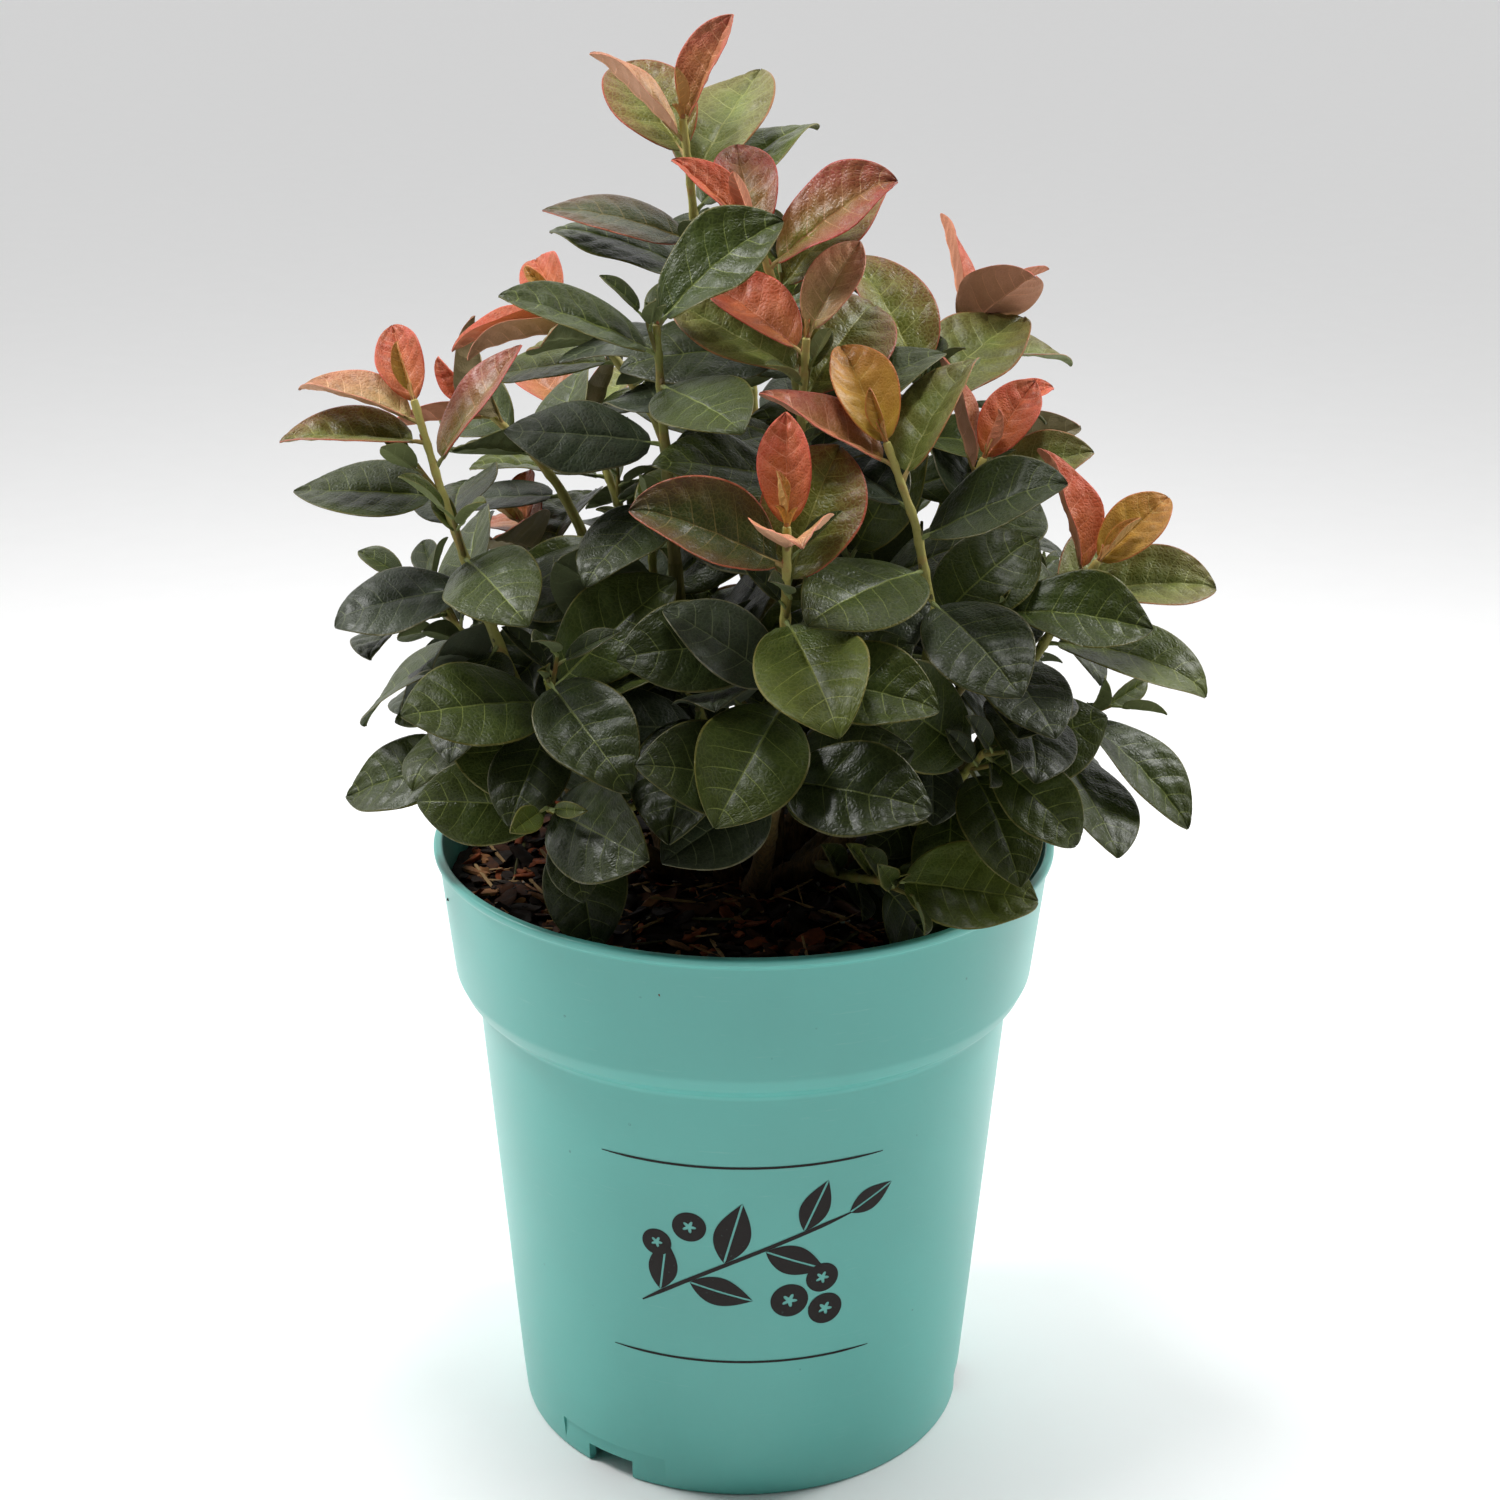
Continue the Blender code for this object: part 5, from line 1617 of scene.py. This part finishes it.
def cane_part(cane, number):
    """A cane with its flared foot, cracked bark and old leaf joints."""
    path = cane_path(cane, BARK_RINGS)
    path[0] = path[0] - Vector((0, 0, FOOT_SUNK))
    share = np.linspace(0, 1, BARK_RINGS + 1)
    coarse = cane_radii()
    radius = np.interp(share, np.linspace(0, 1, len(coarse)), coarse)
    table = np.zeros((BARK_RINGS + 1, BARK_SIDES))
    joints = [0.18 + 0.13 * k + 0.03 * math.sin(number + 2.1 * k) for k in range(6)]
    for k in range(BARK_RINGS + 1):
        joint = sum(math.exp(-(((share[k] - at) / 0.012) ** 2)) for at in joints)
        for j in range(BARK_SIDES):
            turn = 2 * math.pi * j / BARK_SIDES
            spot = Vector((math.cos(turn) * 1.6 + number * 7.3, math.sin(turn) * 1.6, share[k] * 9.0))
            crack = noise.noise(spot * 1.3) * 0.16 + noise.noise(spot * 3.1) * 0.10
            table[k, j] = radius[k] * (1 + crack * (1 - 0.55 * share[k])) + 0.35 * joint
    return fine_tube(path, table, BARK_SIDES)


def stem_part(item, canes, slot):
    """The stem of a shoot, from inside its cane to its rounded tip, with a joint at each leaf."""
    start, way = along_path(cane_path(canes[item.shoot.cane]), item.shoot.along)
    inside = start - way * 1.5 if item.shoot.along >= 1.0 else start
    fine = [along_path(item.path, k / STEM_STEPS)[0] for k in range(STEM_STEPS + 1)]
    eased_in = [(a + b * 2 + c) / 4 for a, b, c in zip(fine, fine[1:], fine[2:])]
    line = [fine[0]] + eased_in + [fine[-1]]
    share = np.linspace(0, 1, STEM_STEPS + 1)
    radius = SHOOT_FOOT_RADIUS + (SHOOT_TIP_RADIUS - SHOOT_FOOT_RADIUS) * share
    for leaf in item.leaves:
        off = np.array([(point - Vector(leaf.root)).length for point in line])
        radius = radius + NODE_SWELL * np.exp(-((off / NODE_REACH) ** 2))
    points, radii = rounded([inside] + line, [radius[0] * 0.9] + list(radius))
    part = fine_tube(points[2:], radii[2:], STEM_SIDES, slot)
    along = np.repeat(np.linspace(0, 1, len(points) - 2), STEM_SIDES)
    return part._replace(maps=np.stack([along, part.maps[:, 1]], axis=-1))


# Operators


def colour_setting(name, description, default):
    """A colour for the sidebar."""
    return bpy.props.FloatVectorProperty(
        name=name, description=description, default=default, min=0.0, max=1.0, subtype="COLOR",
    )


def count_setting(name, description, default):
    """A number of like pieces."""
    return bpy.props.IntProperty(name=name, description=description, default=default, min=0)


def length_setting(name, description, default):
    """A length in metres."""
    return bpy.props.FloatProperty(
        name=name, description=description, default=default, min=0.0, unit="LENGTH", precision=5,
    )


def strength_setting(name, description, default):
    """The strength of a light."""
    return bpy.props.FloatProperty(name=name, description=description, default=default, min=0.0)


class PotSettings(bpy.types.PropertyGroup):
    """The pot"""

    colour: colour_setting("Plastic", "Colour of the moulded plastic", (0.108, 0.435, 0.383))
    show_print: bpy.props.BoolProperty(
        name="Print", description="Print the sprig on the front of the pot", default=True,
    )


class CompostSettings(bpy.types.PropertyGroup):
    """The compost"""

    chips: count_setting("Bark chips", "How many chips of bark lie on the compost", 1500)
    slivers: count_setting("Slivers", "How many slivers of wood and twig lie on it", 180)
    specks: count_setting("Pale specks", "How many pale specks lie on it", 70)


class CaneSettings(bpy.types.PropertyGroup):
    """The canes"""

    bark: colour_setting("Bark", "Colour of the bark at the foot", (0.125, 0.066, 0.028))
    tip: colour_setting("Upper bark", "Colour of the bark near the tip", (0.125, 0.115, 0.028))


class LeafSettings(bpy.types.PropertyGroup):
    """The leaves"""

    thickness: length_setting("Thickness", "Thickness of a blade", 0.00036)
    quilting: length_setting("Quilting", "How far the blade swells between its veins", 0.0004)
    side_twigs: bpy.props.FloatProperty(
        name="Side twigs", description="Share of the grown leaves with a small twig beside them",
        default=0.45, min=0.0, max=1.0, subtype="FACTOR",
    )


class StageSettings(bpy.types.PropertyGroup):
    """The floor and the light"""

    floor: colour_setting("Floor", "Colour of the floor", (0.92, 0.92, 0.92))
    front: strength_setting("Front light", "Strength of the light from the camera's side", 0.02)
    back: strength_setting("Back light", "Strength of the light from the sides and behind", 1.25)


class BLUEBERRY_OT_pot(bpy.types.Operator):
    """Mould the pot with its collar, raised floor and drain notches, and print its front"""

    bl_idname = "blueberry.pot"
    bl_label = "Pot"

    def execute(self, context):
        shell = turned(pot_outline(), POT_SIDES)
        pot = add_piece("growing_pot", [shell], [plastic_look()], ["pot"])
        weld(pot, 0.00002)
        half_angle = math.degrees(NOTCH_WIDTH / 2 / BODY_FOOT_RADIUS)
        panel = (BODY_FOOT_RADIUS - PANEL_DEPTH, PANEL_HEIGHT, PANEL_HALF_ANGLE, 12)
        notch = (BODY_FOOT_RADIUS - NOTCH_DEPTH, NOTCH_HEIGHT, half_angle, 6)
        for bearing in NOTCH_BEARINGS:
            for low, height, angle, steps in (panel, notch):
                cut(pot, ring_block(low, 90, -1, height, bearing, angle, steps))
        smooth(pot.data, 30)
        if settings_of("pot").show_print:
            add_piece("pot_print", pot_print(), [print_look()])
        return {"FINISHED"}


class BLUEBERRY_OT_compost(bpy.types.Operator):
    """Fill the pot with crumbly compost and strew it with bark"""

    bl_idname = "blueberry.compost"
    bl_label = "Compost"

    def execute(self, context):
        add_piece("compost_bed", [soil_part()], [earth_look()], ["compost"], sharp=60)
        looks = [chip_look(f"chip_{kind}", *tones) for kind, tones in CHIPS.items()]
        add_piece("compost_chips", litter(), looks, ["compost"], sharp=34)
        return {"FINISHED"}


class BLUEBERRY_OT_canes(bpy.types.Operator):
    """Grow the canes with their bark"""

    bl_idname = "blueberry.canes"
    bl_label = "Canes"

    def execute(self, context):
        parts = [cane_part(cane, k) for k, cane in enumerate(CANES)]
        add_piece("canes", parts, [bark_look()], [cane.name for cane in CANES])
        return {"FINISHED"}


class BLUEBERRY_OT_shoots(bpy.types.Operator):
    """Grow the stems of the shoots, the leaf stalks, the side twigs and the buds"""

    bl_idname = "blueberry.shoots"
    bl_label = "Shoots"

    def execute(self, context):
        canes = {cane.name: cane for cane in CANES}
        stems, stalks, buds = [], [], []
        for item, twigs in plant():
            young = item.shoot.youth > 0.5
            stems.append(stem_part(item, canes, 0 if young else 1))
            for leaf in item.leaves + [leaf for twig in twigs for leaf in twig.leaves]:
                stalks.append(stalk_part(leaf, 0 if leaf.age < 3.2 else 1))
            for leaf in item.leaves:
                share = (leaf.root[2] - item.path[0].z) / (item.path[-1].z - item.path[0].z)
                way = along_path(item.path, share)[1]
                aim = (Vector(leaf.heading) + way * 1.6).normalized()
                root = Vector(leaf.root) + aim * (SHOOT_TIP_RADIUS * 0.9)
                buds.append(bud_part(root, aim, 2.6, 0 if leaf.age < 4 else 1))
            for twig in twigs:
                points, radii = rounded(twig.points, np.linspace(1.0, 0.6, len(twig.points)))
                stems.append(fine_tube(points, radii, 8, 1))
        nodes = [item.shoot.name for item, _ in plant()]
        pieces = (
            ("shoot_stems", "stem", stems, "bark"),
            ("leaf_stalks", "stalk", stalks, "leaf"),
            ("leaf_buds", "bud", buds, "leaf"),
        )
        for name, skin, parts, slot in pieces:
            looks = [stem_look(f"{skin}_{age}") for age in ("new", "grown")]
            add_piece(name, parts, looks, nodes)
        return {"FINISHED"}


# How many leaves one piece holds at most
MOST_LEAVES = 60


class BLUEBERRY_OT_leaves(bpy.types.Operator):
    """Dress every shoot in leaves, each kind joined apart"""

    bl_idname = "blueberry.leaves"
    bl_label = "Leaves"

    def execute(self, context):
        kinds = {tint.name: [] for tint in TINTS}
        number = 0
        for item, twigs in plant():
            chance = random.Random(item.shoot.name + " tint")
            for leaf in item.leaves:
                number += 1
                kinds[tint_of(item.shoot, leaf, chance)].append((leaf, item.shoot.name, number, False))
            young = item.shoot.youth > 0.5
            for leaf in tip_leaves(item):
                kinds["amber" if young else "fresh"].append((leaf, item.shoot.name, number, True))
            for twig in twigs:
                kind = chance.choices(("fresh", "green", "deep"), (3, 4, 3))[0]
                for leaf in twig.leaves:
                    kinds[kind].append((leaf, item.shoot.name, number, True))
        for tint in TINTS:
            looks = leaf_looks(tint)
            worn = kinds[tint.name]
            for k in range(0, len(worn), MOST_LEAVES):
                group = worn[k : k + MOST_LEAVES]
                parts = [leaf_part(leaf, number, small) for leaf, _, number, small in group]
                nodes = sorted({shoot for _, shoot, _, _ in group})
                name = f"leaves_{tint.name}_{k // MOST_LEAVES + 1}"
                add_piece(name, parts, looks, nodes, sharp=70)
        return {"FINISHED"}


# The floor runs far out and then curves up into a low backdrop, as (radius, height)
FLOOR_OUTLINE = ((10, 0), (400, 0), (2000, 0), (8000, 0), (15000, 0), (17500, 300), (19000, 1600))
FLOOR_SIDES = 96

# Softboxes: where each stands and its power in watts; all are aimed at one point
SOFTBOXES = {
    "key_left": ((-700, 150, 1000), 7.0),
    "key_right": ((750, 250, 950), 6.0),
    "top": ((-100, -100, 1400), 6.0),
}
SOFTBOX_SIZE = 250
SOFTBOX_AIM = (0, 0, 270)


def turn_towards(aim):
    """The turn that makes a lamp or camera look along a direction."""
    return aim.to_track_quat("-Z", "Y")


class BLUEBERRY_OT_stage(bpy.types.Operator):
    """Lay the floor, set the soft studio light and the camera of the photograph"""

    bl_idname = "blueberry.stage"
    bl_label = "Stage"

    def execute(self, context):
        props = settings_of("stage")
        self.lay_floor(tuple(props.floor))
        self.light_world(context.scene, props)
        for name, (place, power) in SOFTBOXES.items():
            self.add_softbox(name, place, power)
        self.add_camera(context.scene)
        context.scene.view_settings.view_transform = "Standard"
        return {"FINISHED"}

    def lay_floor(self, colour):
        """A wide floor of pale paper."""
        mesh = bpy.data.meshes.new("floor")
        sweep = turned(FLOOR_OUTLINE, FLOOR_SIDES)
        mesh.from_pydata((sweep.places * METRE).tolist(), [], sweep.quads.tolist())
        mesh.shade_smooth()
        look = Look("floor_paper", specular_ior_level=0.2)
        tone = look.grain(look.places(), 30.0, 3.0).ramp(0.3, 0.7)
        look.colour(look.mix(tone, shade(colour, 0.99), colour))
        look.roughness(tone * 0.05 + 0.75)
        mesh.materials.append(look.material)
        set_out("floor", mesh)

    def light_world(self, scene, props):
        """Even white light all round, but for the darker room behind the camera."""
        scene.world = scene.world or bpy.data.worlds.new("studio")
        scene.world.use_nodes = True
        nodes = Nodes(scene.world.node_tree)
        way = nodes.add("ShaderNodeTexCoord", output="Generated")
        towards = (Vector(CAMERA_PLACE) - Vector(CAMERA_GOAL)).normalized()
        sockets = {0: way, 1: tuple(towards)}
        near = nodes.add("ShaderNodeVectorMath", {"operation": "DOT_PRODUCT"}, sockets, output="Value")
        sky = nodes.tree.nodes["Background"]
        nodes.put(sky.inputs["Color"], (1.0, 1.0, 1.0))
        nodes.put(sky.inputs["Strength"], near.ramp(0.0, 0.65, props.back, props.front))

    def add_softbox(self, name, place, power):
        """A square area light aimed at the middle of the plant."""
        light = bpy.data.lights.new(name, "AREA")
        light.shape = "SQUARE"
        light.size = SOFTBOX_SIZE * METRE
        light.energy = power
        made = set_out(name, light)
        made.location = Vector(place) * METRE
        made.rotation_mode = "QUATERNION"
        made.rotation_quaternion = turn_towards(Vector(SOFTBOX_AIM) * METRE - made.location)

    def add_camera(self, scene):
        """The camera, where the photograph was taken from."""
        camera = bpy.data.cameras.new("camera")
        camera.sensor_width = 36.0
        camera.lens = CAMERA_LENS
        camera.clip_start, camera.clip_end = 0.05, 700.0
        made = set_out("camera", camera)
        place, goal = Vector(CAMERA_PLACE) * METRE, Vector(CAMERA_GOAL) * METRE
        turn = turn_towards((goal - place).normalized()).to_matrix()
        roll = Matrix.Rotation(math.radians(CAMERA_ROLL), 3, "Z")
        made.rotation_mode = "QUATERNION"
        made.rotation_quaternion = (turn @ roll).to_quaternion()
        made.location = place
        scene.camera = made


@functools.cache
def plant():
    """Every shoot with its leaves, and the side twigs that still found room."""
    grown, crowd = grow()
    return [(item, side_twigs(item, crowd)) for item in grown]


class VIEW3D_PT_blueberry(bpy.types.Panel):
    """Lists the pieces of the plant with their settings"""

    bl_label = "Blueberry bush"
    bl_space_type = "VIEW_3D"
    bl_region_type = "UI"
    bl_category = "Blueberry"

    def draw(self, context):
        for operator, group in STEPS:
            box = self.layout.box()
            if group in SETTINGS:
                for key in SETTINGS[group].__annotations__:
                    box.prop(settings_of(group), key)
            box.operator(operator.bl_idname)


STEPS = (
    (BLUEBERRY_OT_stage, "stage"),
    (BLUEBERRY_OT_pot, "pot"),
    (BLUEBERRY_OT_compost, "compost"),
    (BLUEBERRY_OT_canes, "canes"),
    (BLUEBERRY_OT_shoots, "shoots"),
    (BLUEBERRY_OT_leaves, "leaves"),
)
SETTINGS = {
    "pot": PotSettings,
    "compost": CompostSettings,
    "canes": CaneSettings,
    "leaves": LeafSettings,
    "stage": StageSettings,
}


def register():
    for group, settings in SETTINGS.items():
        bpy.utils.register_class(settings)
        setattr(bpy.types.Scene, PREFIX + group, bpy.props.PointerProperty(type=settings))
    for operator, _ in STEPS:
        bpy.utils.register_class(operator)
    bpy.utils.register_class(VIEW3D_PT_blueberry)


def unregister():
    bpy.utils.unregister_class(VIEW3D_PT_blueberry)
    for operator, _ in reversed(STEPS):
        bpy.utils.unregister_class(operator)
    for group, settings in reversed(SETTINGS.items()):
        delattr(bpy.types.Scene, PREFIX + group)
        bpy.utils.unregister_class(settings)


def main():
    """Makes the whole scene."""
    register()
    for operator, _ in STEPS:
        space, name = operator.bl_idname.split(".")
        getattr(getattr(bpy.ops, space), name)()


if __name__ == "__main__":
    main()
